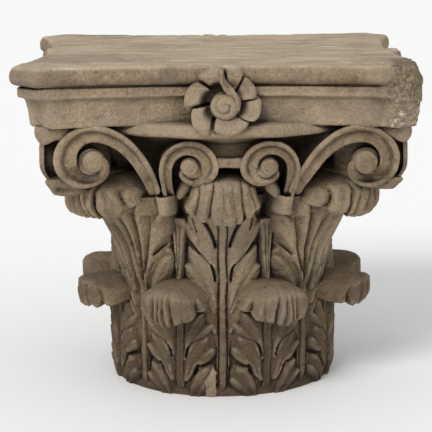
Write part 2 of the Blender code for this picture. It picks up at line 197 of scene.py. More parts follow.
# Outer side of a band, from its face back: depth of each step, and how far it is drawn in
LAP = (0.0045, 0.006, 0.014, 0.02)
LAP_PULL = (0.0, 0.5, 0.66, 0.66)
# Backing disc of an eye: share of its reach, and depth off the face of the band
BACKING = ((0.02, -0.0115), (0.5, -0.0115), (0.9, -0.012), (1.0, -0.0135), (1.0, -0.03))
# The front was set out a little to the right: drift of its inner scrolls, and degrees by which
# the cups beside it stray
HELIX_DRIFT = 0.007
CUP_DRIFT = (2.0, 0.0, 0.0, 0.0, 0.0, 0.0, 0.0, -0.3)
# Bar between the inner scrolls and the web over it: half its width, middle and half size
# (d, z), lean, and how much higher it is at its ends
TIE_BAR = (0.0165, (0.198, 0.3105), (0.0105, 0.0066), 0.0, 0.15)
TIE_WEB = (0.026, (0.178, 0.328), (0.0145, 0.017), 0.006, 0.0)

# Cups upwards: height, half width and half depth
CUP_MIDDLE = 0.173
CUP = (
    (0.2405, 0.007, 0.016), (0.241, 0.0082, 0.0175), (0.244, 0.0088, 0.0185),
    (0.248, 0.0092, 0.0195), (0.253, 0.0096, 0.0205), (0.258, 0.0102, 0.0218),
    (0.2612, 0.011, 0.0232), (0.2635, 0.0113, 0.0236), (0.2645, 0.0106, 0.0226),
    (0.2638, 0.009, 0.0205),
)
# Leaf tongues beside the cups, left or right by the sign of x: start and end (x, d, z)
TONGUE_START = (0.062, 0.165, 0.26)
TONGUE_END = (0.047, 0.168, 0.284)
TONGUE_HALF = 0.0086

# Flowers
FLOWER_MIDDLE = (0.0014, 0.3816)
FLOWER_BACK = 0.196
FLOWER_FACE = 0.227
FLOWER_BOSS = 0.0166
# Petals, anticlockwise: where the clockwise side lies by the boss and at the rim, in degrees, how
# far the petal reaches, and how deep it sinks by the boss
PETALS = (
    (-44.0, -24.0, 0.042, 0.01), (25.0, 19.0, 0.0412, 0.005), (57.0, 65.0, 0.0478, 0.003),
    (92.0, 97.0, 0.0492, 0.016), (128.0, 143.0, 0.0478, 0.014), (180.0, 190.0, 0.042, 0.01),
    (224.0, 250.0, 0.0355, 0.003),
)
PETAL_COLUMNS = 20
# Stalk: its curve from the middle of the flower, and its half thickness and distance along it
TAIL = ((0.015, -0.006), (0.0165, 0.023), (-0.0085, 0.017), (-0.0045, 0.043))
TAIL_HALF = ((0.0, 0.12, 0.45, 0.75, 1.0), (0.0015, 0.0036, 0.005, 0.004, 0.0034))
TAIL_DEPTH = ((0.0, 0.45, 1.0), (0.233, 0.235, 0.232))
FLOWER_WORN = (0.0, 0.0, 0.0, 0.0085)  # how much less the flower of each side stands out
WORN_FROM = 0.21  # only what stands further out than this is worn

# The stone between two volutes, upwards: height, half its width, and distance of its nose
CORNER_STONE = (
    (0.269, 0.008, 0.256), (0.27, 0.0105, 0.274), (0.272, 0.012, 0.285),
    (0.276, 0.013, 0.289), (0.281, 0.0135, 0.293), (0.287, 0.014, 0.2985),
    (0.2915, 0.014, 0.299), (0.293, 0.0135, 0.297), (0.2936, 0.013, 0.272),
    (0.296, 0.014, 0.264), (0.33, 0.015, 0.264), (0.36, 0.018, 0.268),
)
CORNER_MIDDLE = 0.23
BLOCK_TOP = 0.2936  # of the block under the volutes
RAISED_FOOT = (45.0, 0.006)  # the azimuth of the block whose foot is higher, and by how much
SMALL_HOLE = (315.0, 0.012)  # the azimuth of the block with a hole, and its depth
HOLE_PLACE = (0.0085, 0.2775)
HOLE_REACH = (0.004, 0.003)

# Leaf under each horn, along its length: half width and drop
HORN_ROOT = 0.23
HORN_REACH = 0.0815
HORN_TOP = 0.357
HORN_HALF = ((0.0, 0.45, 0.72, 0.85, 1.0), (0.033, 0.027, 0.017, 0.0125, 0.012))
HORN_DROP = ((0.0, 0.4, 0.66, 0.76, 0.88, 1.0), (0.008, 0.018, 0.0235, 0.018, 0.024, 0.0215))

# Studio
FLOOR_HALF = 120.0
FLOOR_COLOUR = (0.96, 0.96, 0.96, 1.0)
SKY_STRENGTH = 0.62
LAMPS = (  # name, where it shines to, strength, and how wide it is in degrees
    ("key", (0.56, 1.0, -0.86), 1.8, 24.0),
    ("fill", (-0.9, 1.2, -0.5), 0.36, 60.0),
)
CAMERA_PLACE = (-0.00435, -2.1195, 0.61565)
CAMERA_TURN = 0.0233
CAMERA_DIP = 0.1906
CAMERA_ROLL = -0.0033
CAMERA_LENS = 135.6


# Curves and points


def smooth_step(value):
    """0 below 0, 1 above 1, and a smooth curve between."""
    value = np.clip(value, 0.0, 1.0)
    return value * value * (3.0 - 2.0 * value)


def bump(value, width):
    """A bell curve of height 1 at 0, which falls off over the width."""
    return np.exp(-(value / width) ** 2)


def rounded(share, power, least=0.0):
    """1 at share 0 and the least at share 1, level at first and then ever steeper: the root of
    1 less a power of the share."""
    return np.sqrt(np.clip(1.0 - share**power, least, 1.0))


def squarish(value, power):
    """A sine or cosine raised to a power with its sign kept, which squares off a circle."""
    return np.sign(value) * np.abs(value) ** power


def around(count):
    """Evenly spaced angles once round."""
    return np.linspace(0.0, 2.0 * math.pi, count, endpoint=False)


def bowed(t, start, bend, end):
    """The quadratic curve from start to end that is drawn to the bend, at each share t."""
    return (1 - t) ** 2 * start + 2 * t * (1 - t) * bend + t * t * end


def bezier(points, steps):
    """Points of a cubic curve, without its last one."""
    t = np.linspace(0.0, 1.0, steps, endpoint=False)[:, None]
    a, b, c, d = [np.array(point) for point in points]
    return (1 - t) ** 3 * a + 3 * t * (1 - t) ** 2 * b + 3 * t * t * (1 - t) * c + t**3 * d


def travelled(line):
    """Distance along a line from its first point to each of its points."""
    return np.concatenate([[0.0], np.cumsum(np.linalg.norm(np.diff(line, axis=0), axis=1))])


def respaced(rows, count):
    """Rows of numbers along a profile, each read again at even distances and made a column. The
    distance is taken over the first row and the last."""
    run = travelled(np.stack([rows[0], rows[-1]], axis=-1))
    even = np.linspace(0.0, run[-1], count)
    return [np.interp(even, run, row)[:, None] for row in rows]


def directions(line):
    """Unit direction of a line at each of its points, and how far apart the points are."""
    way = np.gradient(line, axis=0)
    step = np.linalg.norm(way, axis=1)
    return way / step[:, None], step


def nearest_on(line, way, a, z):
    """For each place the nearest point of a line, by number, and how far the place lies from it
    along the line's direction and across it."""
    far = (a[..., None] - line[:, 0]) ** 2 + (z[..., None] - line[:, 1]) ** 2
    nearest = np.argmin(far, axis=-1)
    gap_a, gap_z = a - line[nearest, 0], z - line[nearest, 1]
    along = gap_a * way[nearest, 0] + gap_z * way[nearest, 1]
    return nearest, along, gap_a * way[nearest, 1] - gap_z * way[nearest, 0]


def turned(points, azimuth):
    """Points given as (x to the right, d outwards, z up) at azimuth 0, turned to an azimuth."""
    angle = math.radians(azimuth)
    x, d, z = np.moveaxis(points, -1, 0)
    right = x * math.cos(angle) + d * math.sin(angle)
    return np.stack([right, x * math.sin(angle) - d * math.cos(angle), z], axis=-1)


def lattice(cell, seed):
    """A number from -1 to 1 for each whole-numbered cell, scrambled from its three indices."""
    mixed = cell[..., 0] * 374761393 + cell[..., 1] * 668265263 + cell[..., 2] * 2246822519
    mixed = (mixed + seed * 1274126177) & 0xFFFFFFFF
    mixed = ((mixed ^ (mixed >> 13)) * 1274126177) & 0xFFFFFFFF
    mixed = (mixed ^ (mixed >> 16)) & 0xFFFF
    return mixed / 32767.5 - 1.0


def noise(points, size, seed=0):
    """Smooth noise from -1 to 1: lattice values a size apart, blended by smooth steps."""
    scaled = points / size
    cell = np.floor(scaled).astype(np.int64)
    part = smooth_step(scaled - cell)
    total = np.zeros(points.shape[:-1])
    for corner in np.ndindex(2, 2, 2):
        corner = np.array(corner)
        weight = np.prod(np.where(corner == 1, part, 1.0 - part), axis=-1)
        total += weight * lattice(cell + corner, seed)
    return total


# Meshes


def tube(rows):
    """Closed skin over rows of points: each row is a ring, joined to the next, and a fan of
    triangles to its own middle closes the first and the last."""
    count, size = rows.shape[:2]
    index = np.arange(count * size).reshape(count, size)
    after = np.roll(index, -1, axis=1)
    quads = np.stack([index[:-1], after[:-1], after[1:], index[1:]], axis=-1).reshape(-1, 4)
    middles = np.stack([rows[0].mean(axis=0), rows[-1].mean(axis=0)])
    first = np.stack([after[0], index[0], np.full(size, count * size)], axis=-1)
    last = np.stack([index[-1], after[-1], np.full(size, count * size + 1)], axis=-1)
    points = np.concatenate([rows.reshape(-1, 3), middles])
    triangles = np.concatenate([first, last])
    corners = points[np.concatenate([quads[:, :3], quads[:, [0, 2, 3]], triangles])]
    volume = np.einsum("ij,ij->", corners[:, 0], np.cross(corners[:, 1], corners[:, 2]))
    if volume < 0.0:
        quads, triangles = quads[:, ::-1], triangles[:, ::-1]
    return points, quads, triangles


def carved(x, d, z, azimuth):
    """A closed skin from rows of x, d and z at azimuth 0, turned to its azimuth."""
    return tube(turned(np.stack(np.broadcast_arrays(x, d, z), axis=-1), azimuth))


def settled(points):
    """The stone isn't quite true: x is stretched or drawn in by a share that follows the
    height, so its right side is fuller in the lower half and its left side slimmer at the neck."""
    right = np.interp(points[:, 2], *RIGHT_SWELL)
    left = np.interp(points[:, 2], *LEFT_WAIST)
    share = np.where(points[:, 0] > 0.0, right, left)
    return points * np.stack([share, np.ones(len(points)), np.ones(len(points))], axis=-1)


def mesh_of(name, skins):
    """One mesh of several closed skins."""
    points, quads, triangles, start = [], [], [], 0
    for skin_points, skin_quads, skin_triangles in skins:
        points.append(skin_points)
        quads.append(skin_quads + start)
        triangles.append(skin_triangles + start)
        start += len(skin_points)
    points, quads, triangles = [np.concatenate(rows) for rows in (points, quads, triangles)]
    mesh = bpy.data.meshes.new(name)
    mesh.vertices.add(len(points))
    mesh.vertices.foreach_set("co", settled(points).astype(np.float32).ravel())
    corners = np.concatenate([quads.ravel(), triangles.ravel()])
    sizes = np.concatenate([np.full(len(quads), 4), np.full(len(triangles), 3)])
    mesh.loops.add(len(corners))
    mesh.loops.foreach_set("vertex_index", corners.astype(np.int32))
    mesh.polygons.add(len(sizes))
    starts = np.concatenate([[0], np.cumsum(sizes)[:-1]])
    mesh.polygons.foreach_set("loop_start", starts.astype(np.int32))
    mesh.update(calc_edges=True)
    mesh.validate()
    return mesh


def read(items, key, width, kind=np.float32):
    """An attribute of a mesh's points or edges as an array with so many numbers in a row."""
    values = np.zeros(len(items) * width, kind)
    items.foreach_get(key, values)
    return values.reshape(-1, width)


def points_and_normals(mesh):
    """Where the points of a mesh lie, and which way they face."""
    points, normals = read(mesh.vertices, "co", 3), read(mesh.vertex_normals, "vector", 3)
    return points.astype(float), normals.astype(float)


def breakage(points):
    """1 on the rough face of the broken front right horn, 0 on sound stone."""
    x, y, z = np.moveaxis(points, -1, 0)
    near = np.hypot((x - BREAK_MIDDLE[0]) / BREAK_REACH[0], (y - BREAK_MIDDLE[1]) / BREAK_REACH[1])
    ragged = 0.16 * noise(points, 0.018, 31) + 0.08 * noise(points, 0.007, 32)
    return smooth_step((1.0 - near + ragged) / 0.2) * smooth_step((z - 0.352) / 0.006)


def weathered(points, normals, roughness):
    """Points moved along their normals by hand-carved unevenness, small dents, pits, and on
    the broken horn by deep rough stone. The bottom stays flat."""
    swell = 0.00055 * noise(points, 0.034, 1) + 0.00045 * noise(points, 0.013, 2)
    grain = 0.00022 * noise(points, 0.0052, 3) + 0.00012 * noise(points, 0.0026, 4)
    pits = -0.0009 * smooth_step((noise(points, 0.0075, 5) - 0.62) / 0.25)
    rough = 0.002 * noise(points, 0.022, 6) + 0.0015 * noise(points, 0.009, 7)
    rough += 0.0009 * noise(points, 0.0045, 8)
    move = roughness * (swell + grain + pits) + breakage(points) * rough
    move *= smooth_step(points[:, 2] / 0.004)
    return points + normals * move[:, None]


def neighbours(mesh, points):
    """Both ends of every edge shorter than 12 mm, each edge once in either direction, and how
    many neighbours that gives each point."""
    edges = read(mesh.edges, "vertices", 2, np.int32)
    edges = edges[np.linalg.norm(points[edges[:, 0]] - points[edges[:, 1]], axis=1) < 0.012]
    ends, others = np.concatenate([edges, edges[:, ::-1]]).T
    return ends, others, np.maximum(np.bincount(ends, minlength=len(points)), 1.0)


def edge_and_hollow(points, normals, near):
    """How far each point stands over the mean of its neighbours, as a share of their distance:
    above 0 on edges and below 0 in hollows, evened out once over the neighbours."""
    ends, others, count = near
    offset = points[others] - points[ends]
    height = np.bincount(ends, np.einsum("ij,ij->i", offset, normals[ends]), len(points))
    span = np.bincount(ends, np.einsum("ij,ij->i", offset, offset), len(points))
    bend = -0.002 * height / np.maximum(span, 1e-9)
    for _ in range(2):
        bend = 0.5 * bend + 0.5 * np.bincount(ends, bend[others], len(points)) / count
    return np.clip(bend, -1.0, 1.0)


def lift(points, normals, near):
    """How far each point stands out from the stone around it, over some 6 mm: the points are
    evened out many times over their neighbours, and each is measured along its normal."""
    ends, others, count = near
    soft = points
    for _ in range(24):
        mean = [np.bincount(ends, soft[others, axis], len(points)) for axis in range(3)]
        soft = 0.4 * soft + 0.6 * np.stack(mean, axis=1) / count[:, None]
    height = np.einsum("ij,ij->i", points - soft, normals)
    return np.clip(height / 0.0016, -1.0, 1.0)


def store(mesh, **marks):
    """Keep one number for each point of a mesh under each name that the stone reads."""
    for name, values in marks.items():
        layer = mesh.attributes.new(name, "FLOAT", "POINT")
        layer.data.foreach_set("value", values.astype(np.float32))


def placed(name, data):
    """A new object of the scene that holds a mesh, a lamp or a camera."""
    item = bpy.data.objects.new(name, data)
    bpy.context.scene.collection.objects.link(item)
    return item


def piece(name, skins, roughness=1.0):
    """A finished piece of the capital: its skins in one mesh, weathered, and with its edges,
    hollows and fresh breaks marked for the stone."""
    mesh = mesh_of(name, skins)
    points = weathered(*points_and_normals(mesh), roughness)
    mesh.vertices.foreach_set("co", points.astype(np.float32).ravel())
    mesh.polygons.foreach_set("use_smooth", np.ones(len(mesh.polygons), dtype=bool))
    mesh.update()
    mesh.set_sharp_from_angle(angle=math.radians(60.0))
    moved, normals = points_and_normals(mesh)
    near = neighbours(mesh, moved)
    azimuth = np.degrees(np.arctan2(points[:, 0], -points[:, 1]))
    store(mesh, edge=edge_and_hollow(moved, normals, near), lift=lift(moved, normals, near),
          broken=breakage(points), fresh=chipped(azimuth, points[:, 2]) * (np.abs(azimuth) < 20.0))
    mesh.materials.append(STONE)
    item = placed(name, mesh)
    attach(item, "root")
    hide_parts("capital")


# Stone

TAUPE = (0.225, 0.168, 0.11, 1.0)
WARM_BUFF = (0.33, 0.254, 0.155, 1.0)
GREY_MAUVE = (0.14, 0.105, 0.085, 1.0)
OCHRE = (0.235, 0.16, 0.082, 1.0)
PALE = (0.4, 0.322, 0.225, 1.0)
BROWN = (0.075, 0.048, 0.027, 1.0)
# Painted light, with some pale dust, on the upper bed
LIT_TOP_PALE = (0.47, 0.38, 0.27, 1.0)
CHALK = (0.62, 0.56, 0.45, 1.0)
# Pale wear on edges, and painted highlight on raised stone
WORN_AND_HIGHLIGHT = (0.42, 0.34, 0.24, 1.0)
BREAK_DARK = (0.108, 0.08, 0.054, 1.0)
BREAK_PALE = (0.335, 0.264, 0.184, 1.0)
FRESH = (0.35, 0.276, 0.192, 1.0)
# Painted shade where the stone lies back
RECESS_SHADE = (0.075, 0.051, 0.031, 1.0)
# Painted shade, with some dirt, for hollows and stone shut in by other stone
SHADE_AND_DIRT = (0.02, 0.0125, 0.007, 1.0)
# Patches from broad to fine: scale, detail, roughness and stretch of the clouds, where the
# patch starts and is full, its strength and its colour
PATCHES = (
    (11.0, 4.0, 0.6, (1.0, 1.0, 1.6), 0.5, 0.66, 0.62, GREY_MAUVE),
    (24.0, 5.0, 0.65, None, 0.48, 0.66, 0.55, OCHRE),
    (62.0, 6.0, 0.75, None, 0.5, 0.68, 0.5, PALE),
    (38.0, 6.0, 0.75, None, 0.54, 0.68, 0.55, BROWN),
    (170.0, 3.0, 0.6, None, 0.54, 0.68, 0.4, BROWN),
    (430.0, 4.0, 0.7, None, 0.42, 0.6, 0.22, BROWN),
    (300.0, 4.0, 0.7, None, 0.54, 0.68, 0.25, PALE),
)
# Stains: centre, reach, strength and colour. The ones marked so are painted shade.
STAINS_AND_SHADE = (
    ((-0.062, -0.232, 0.412), 0.026, 0.65, GREY_MAUVE),
    # Painted shade on the right volute, whose face gets less light
    ((0.178, -0.214, 0.305), 0.07, 0.42, BROWN),
    ((0.09, -0.12, 0.05), 0.1, 0.35, BROWN),
    ((-0.205, -0.245, 0.4), 0.05, 0.35, GREY_MAUVE),
    ((0.0, -0.2, 0.262), 0.05, 0.3, GREY_MAUVE),
    # Painted shade on the lower right of the drum
    ((0.165, -0.11, 0.125), 0.06, 0.6, BROWN),
    # Painted shade on the blocks under the front volutes
    ((-0.205, -0.205, 0.28), 0.034, 0.55, BROWN),
    ((0.205, -0.205, 0.28), 0.034, 0.35, BROWN),
    # Painted shade on the side volutes seen edge-on
    ((-0.234, -0.19, 0.305), 0.032, 0.75, BROWN),
    ((0.234, -0.19, 0.305), 0.032, 0.75, BROWN),
    ((-0.068, -0.182, 0.14), 0.044, 0.22, GREY_MAUVE),
    ((0.068, -0.182, 0.14), 0.044, 0.42, GREY_MAUVE),
    ((-0.148, -0.166, 0.258), 0.055, 0.36, BROWN),
    ((0.148, -0.166, 0.258), 0.055, 0.26, BROWN),
    ((0.0, -0.15, 0.18), 0.078, 0.24, PALE),
    ((0.118, -0.095, 0.2), 0.055, 0.42, PALE),
    # Painted shade in the small hole of a corner block
    ((-0.196, -0.208, 0.2775), 0.0085, 0.9, SHADE_AND_DIRT),
    ((-0.185, -0.12, 0.43), 0.1, 0.4, GREY_MAUVE),
    ((-0.15, 0.23, 0.38), 0.09, 0.45, GREY_MAUVE),
    ((0.23, 0.06, 0.33), 0.09, 0.4, GREY_MAUVE),
)


class Finish:
    """The nodes of one material. Each method adds to them and gives back its result, and takes
    numbers, colours or the results of others."""

    def __init__(self, name):
        self.material = bpy.data.materials.new(name)
        self.material.use_nodes = True
        self.tree = self.material.node_tree
        self.shader = self.tree.nodes["Principled BSDF"]
        self.place = self.add("TexCoord", {})["Object"]
        self.height = self.add("SeparateXYZ", {0: self.place})["Z"]

    def wire(self, value, socket):
        """Link a result to a socket, or set a number or colour on it."""
        if isinstance(value, bpy.types.NodeSocket):
            self.tree.links.new(value, socket)
        else:
            socket.default_value = value

    def add(self, kind, inputs, **settings):
        """A new node of a kind with its settings and inputs. Gives back its outputs."""
        node = self.tree.nodes.new("ShaderNode" + kind)
        for key, value in settings.items():
            setattr(node, key, value)
        for key, value in inputs.items():
            self.wire(value, node.inputs[key])
        return node.outputs

    def mark(self, name):
        """The number that the pieces keep for each point under a name."""
        return self.add("Attribute", {}, attribute_name=name)["Fac"]

    def clouds(self, scale, detail=3.0, rough=0.55, stretch=None):
        """Noise in the stone's own space."""
        place = self.place
        if stretch:
            place = self.add("Mapping", {"Scale": stretch, "Vector": place})["Vector"]
        return self.add("TexNoise", {
            "Scale": scale, "Detail": detail, "Roughness": rough, "Vector": place})["Fac"]

    def ramp(self, value, low, high, out_low=0.0, out_high=1.0):
        """A smooth change from one number to another while a value goes from low to high."""
        return self.add("MapRange", {
            "From Min": low, "From Max": high, "To Min": out_low, "To Max": out_high,
            "Value": value}, interpolation_type="SMOOTHSTEP")["Result"]

    def plus(self, first, second):
        """The sum of two numbers."""
        return self.add("Math", {0: first, 1: second}, operation="ADD")[0]

    def times(self, first, second):
        """The product of two numbers."""
        return self.add("Math", {0: first, 1: second}, operation="MULTIPLY")[0]

    def blend(self, share, under, over):
        """One colour over another by a share."""
        return self.add("Mix", {"Factor": share, "A": under, "B": over},
                        data_type="RGBA", blend_type="MIX")["Result"]

    def layer(self, under, share, strength, over):
        """A colour over another where a share says so, and as strong as given."""
        return self.blend(self.times(share, strength), under, over)

    def stain(self, centre, reach):
        """1 near a centre and 0 beyond the reach, with a ragged edge."""
        far = self.add("VectorMath", {0: self.place, 1: centre}, operation="DISTANCE")["Value"]
        ragged = self.add("Math", {0: self.clouds(45.0, 5.0, 0.65), 1: 0.5}, operation="SUBTRACT")
        far = self.plus(far, self.times(ragged[0], 1.4 * reach))
        return self.ramp(far, reach, 0.45 * reach)

    def band(self, rise, fall):
        """1 between two heights: it comes in over the rise and goes out over the fall."""
        return self.times(self.ramp(self.height, *rise), self.ramp(self.height, *fall))


def sound_stone(mix, uneven):
    """Taupe and buff stone with patches, darker towards the foot with dirt and painted shade, pale
    with painted light in the hollow of the moulding and on the upper bed, painted shade under its
    roll, and stained in places, some of the stains being painted shade."""
    colour = mix.blend(mix.ramp(mix.clouds(14.0, 5.0), 0.4, 0.6), TAUPE, WARM_BUFF)
    for scale, detail, rough, stretch, low, high, strength, tint in PATCHES:
        patch = mix.ramp(mix.clouds(scale, detail, rough, stretch), low, high)
        colour = mix.layer(colour, patch, strength, tint)
    # Darker towards the foot: dirt and painted shade
    colour = mix.blend(mix.ramp(uneven, 0.32, 0.07, 0.0, 0.9), colour, BROWN)
    # Paler in the hollow of the moulding: painted light
    hollow = mix.band((0.35, 0.362), (0.402, 0.392))
    colour = mix.layer(colour, hollow, 0.3, PALE)
    # Brown under the roll: painted shade
    shade_under_roll = mix.band((0.4035, 0.4045), (0.4165, 0.406))
    colour = mix.layer(colour, shade_under_roll, 0.55, BROWN)
    # Paler on the upper bed: painted light and dust
    top = mix.ramp(mix.height, HEIGHT - 0.006, HEIGHT - 0.0015)
    uneven_top = mix.ramp(mix.clouds(9.0, 5.0, 0.65), 0.36, 0.62, 0.45, 1.0)
    colour = mix.layer(colour, top, uneven_top, LIT_TOP_PALE)
    # Stains, and painted shade where the list marks it
    for centre, reach, strength, tint in STAINS_AND_SHADE:
        colour = mix.layer(colour, mix.stain(centre, reach), strength, tint)
    streaks = mix.ramp(mix.clouds(32.0, 6.0, 0.7, (0.4, 3.0, 1.0)), 0.51, 0.64)
    streaks = mix.times(streaks, mix.ramp(mix.height, HEIGHT - 0.004, HEIGHT - 0.001))
    return mix.layer(colour, streaks, 0.8, CHALK)


def worn_and_shaded_stone(mix, colour, edge):
    """Painted highlight and wear where the stone stands out, painted shade where it lies back, and
    pale along worn edges.
    """
    raised = mix.plus(mix.mark("lift"), mix.times(mix.clouds(40.0, 5.0, 0.7), 0.9))
    # Paler where the stone stands out: painted highlight and wear
    colour = mix.layer(colour, mix.ramp(raised, 0.62, 1.5), 0.26, WORN_AND_HIGHLIGHT)
    # Darker where the stone lies back: painted shade
    colour = mix.layer(colour, mix.ramp(raised, 0.46, -0.75), 0.66, RECESS_SHADE)
    wear = mix.plus(edge, mix.times(mix.clouds(45.0, 4.0), 0.3))
    return mix.layer(colour, mix.ramp(wear, 0.24, 0.62), 0.24, WORN_AND_HIGHLIGHT)


def broken_stone(mix, colour, broken, uneven):
    """Speckled stone on the broken horn, with dark pores at its top and chalky flecks below,
    and pale stone in the chip at the foot."""
    speckle = mix.ramp(mix.clouds(260.0, 6.0, 0.8), 0.38, 0.62)
    rough_stone = mix.blend(speckle, BREAK_DARK, BREAK_PALE)
    pores = mix.ramp(mix.clouds(210.0, 5.0, 0.8), 0.42, 0.58)
    pores = mix.times(pores, mix.ramp(uneven, 0.434, 0.462))
    rough_stone = mix.layer(rough_stone, pores, 0.85, BROWN)
    flecks = mix.ramp(mix.clouds(120.0, 6.0, 0.8), 0.53, 0.61)
    flecks = mix.times(flecks, mix.ramp(uneven, 0.462, 0.43))
    rough_stone = mix.layer(rough_stone, flecks, 0.85, CHALK)
    colour = mix.layer(colour, broken, 0.85, rough_stone)
    fresh = mix.blend(mix.ramp(mix.clouds(110.0, 4.0, 0.7), 0.35, 0.65), TAUPE, FRESH)
    return mix.layer(colour, mix.mark("fresh"), 0.9, fresh)


def shaded_dirty_stone(mix, colour, edge):
    """Painted shade, with some dirt, where the stone is shut in by other stone, and in its
    hollows.
    """
    hidden = mix.add("AmbientOcclusion", {"Distance": 0.045}, samples=8)["AO"]
    shut = mix.plus(hidden, mix.times(mix.clouds(55.0, 4.0), 0.16))
    # Painted shade, with some dirt, where ambient occlusion finds the stone shut in
    colour = mix.layer(colour, mix.ramp(shut, 0.72, 0.22), 0.9, SHADE_AND_DIRT)
    # Painted shade, with some dirt, in the concave hollows
    return mix.layer(colour, mix.ramp(edge, -0.05, -0.38), 0.45, SHADE_AND_DIRT)


def stone():
    """Weathered taupe limestone: patches of warm and grey stone, darker towards the foot with dirt
    and painted shade, painted shade and dark dirt in the hollows, painted highlight and shade on
    the relief, pale worn edges, grain, pits, and pale rough stone on the break."""
    mix = Finish("weathered_limestone")
    edge, broken = mix.mark("edge"), mix.mark("broken")
    uneven = mix.plus(mix.height, mix.times(mix.clouds(12.0, 3.0), 0.1))
    colour = worn_and_shaded_stone(mix, sound_stone(mix, uneven), edge)
    colour = shaded_dirty_stone(mix, broken_stone(mix, colour, broken, uneven), edge)
    grain = mix.times(mix.clouds(120.0, 6.0, 0.7), 0.6)
    relief = mix.plus(grain, mix.ramp(mix.clouds(240.0, 3.0), 0.62, 0.36))
    relief = mix.plus(relief, mix.times(broken, mix.clouds(90.0, 6.0, 0.8)))
    normal = mix.add("Bump", {"Strength": 0.75, "Distance": 0.0014, "Height": relief})["Normal"]
    dull = mix.ramp(mix.clouds(60.0, 4.0), 0.3, 0.7, 0.74, 0.95)
    for name, value in (("Metallic", 0.0), ("Specular IOR Level", 0.25), ("Base Color", colour),
                        ("Roughness", dull), ("Normal", normal)):
        mix.wire(value, mix.shader.inputs[name])
    return mix.material


# Leaves

# Lobes of an upper leaf from the top down: root, bend, tip and half width
UPPER_LOBES = (
    ((0.0085, 0.152), (0.0245, 0.196), (0.039, 0.24), 0.0172),
    ((0.03, 0.188), (0.0385, 0.206), (0.053, 0.228), 0.0092),
    ((0.0095, 0.118), (0.021, 0.162), (0.047, 0.195), 0.0146),
    ((0.011, 0.112), (0.029, 0.143), (0.053, 0.17), 0.0142),
    ((0.01, 0.086), (0.019, 0.112), (0.04, 0.136), 0.012),
)
# Their crowns, and those of a corner leaf: the second lobe curls out more than the others
UPPER_CROWNS = (0.0058, 0.007, 0.0058, 0.0058, 0.0058)
# Half width of the sheet of an upper leaf
UPPER_OUTLINE = (
    (0.0, 0.05, 0.07, 0.095, 0.118, 0.14, 0.16, 0.172, 0.187, 0.193, 0.199, 0.206, 0.214,
     0.222, 0.232, 0.262),
    (0.0055, 0.0058, 0.01, 0.024, 0.043, 0.05, 0.052, 0.0515, 0.0505, 0.044, 0.0435,
     0.0475, 0.046, 0.05, 0.052, 0.056),
)
# Cuts in an upper leaf: start, bend and end, the radius along them, and the depth
UPPER_CUTS = (
    (((0.0275, 0.235), (0.016, 0.222), (0.0098, 0.197)), (0.001, 0.002, 0.0016), 0.009),
    (((0.049, 0.2005), (0.04, 0.195), (0.032, 0.187)), (0.0036, 0.002, 0.0011), 0.009),
    (((0.0315, 0.188), (0.024, 0.179), (0.015, 0.172)), (0.001, 0.0008, 0.0009), 0.0025),
    (((0.0155, 0.173), (0.012, 0.168), (0.01, 0.152)), (0.0008, 0.0018, 0.0014), 0.009),
    (((0.037, 0.233), (0.0365, 0.224), (0.034, 0.216)), (0.0016, 0.0012, 0.0008), 0.003),
)
# A corner leaf: long flutes that fan up from the rib under the tip, lobes below them, and cuts
CORNER_LOBES = (
    ((0.008, 0.13), (0.013, 0.19), (0.02, 0.266), 0.006),
    ((0.0105, 0.13), (0.0235, 0.185), (0.036, 0.26), 0.0078),
    ((0.014, 0.14), (0.0335, 0.19), (0.051, 0.24), 0.0088),
    ((0.011, 0.112), (0.029, 0.145), (0.051, 0.183), 0.0112),
    ((0.011, 0.096), (0.025, 0.123), (0.048, 0.148), 0.0105),
)
CORNER_CUTS = (
    (((0.05, 0.206), (0.042, 0.197), (0.032, 0.185)), (0.0034, 0.0022, 0.0011), 0.009),
    (((0.0345, 0.232), (0.0255, 0.19), (0.017, 0.16)), (0.003, 0.0018, 0.0008), 0.007),
    (((0.0225, 0.238), (0.016, 0.195), (0.0102, 0.15)), (0.0024, 0.0017, 0.0008), 0.007),
    (((0.029, 0.172), (0.021, 0.16), (0.015, 0.14)), (0.0008, 0.0009, 0.0008), 0.003),
)
# A lower leaf
LOWER_LOBES = (
    ((0.0085, 0.05), (0.013, 0.08), (0.034, 0.112), 0.0105),
    ((0.0095, 0.05), (0.024, 0.079), (0.0475, 0.097), 0.0095),
    ((0.009, 0.022), (0.0145, 0.05), (0.039, 0.08), 0.0118),
    ((0.011, 0.022), (0.026, 0.048), (0.048, 0.064), 0.009),
    ((0.01, -0.014), (0.019, 0.014), (0.0405, 0.042), 0.011),
    ((0.013, -0.016), (0.029, 0.01), (0.0485, 0.026), 0.009),
)
LOWER_CROWNS = (0.0062,) * len(LOWER_LOBES)
LOWER_CUTS = (
    (((0.045, 0.085), (0.033, 0.077), (0.024, 0.0745)), (0.0022, 0.0014, 0.0008), 0.0022),
    (((0.0245, 0.0748), (0.017, 0.072), (0.0135, 0.064)), (0.0008, 0.0008, 0.001), 0.0016),
    (((0.0145, 0.067), (0.0115, 0.062), (0.0102, 0.053)), (0.0009, 0.0018, 0.0014), 0.009),
    (((0.049, 0.05), (0.039, 0.042), (0.027, 0.0405)), (0.0034, 0.0022, 0.0014), 0.006),
    (((0.0262, 0.042), (0.0235, 0.038), (0.0203, 0.03)), (0.0014, 0.0024, 0.0016), 0.009),
    (((0.0203, 0.03), (0.013, 0.02), (0.0115, -0.005)), (0.0008, 0.0008, 0.0009), 0.0018),
)


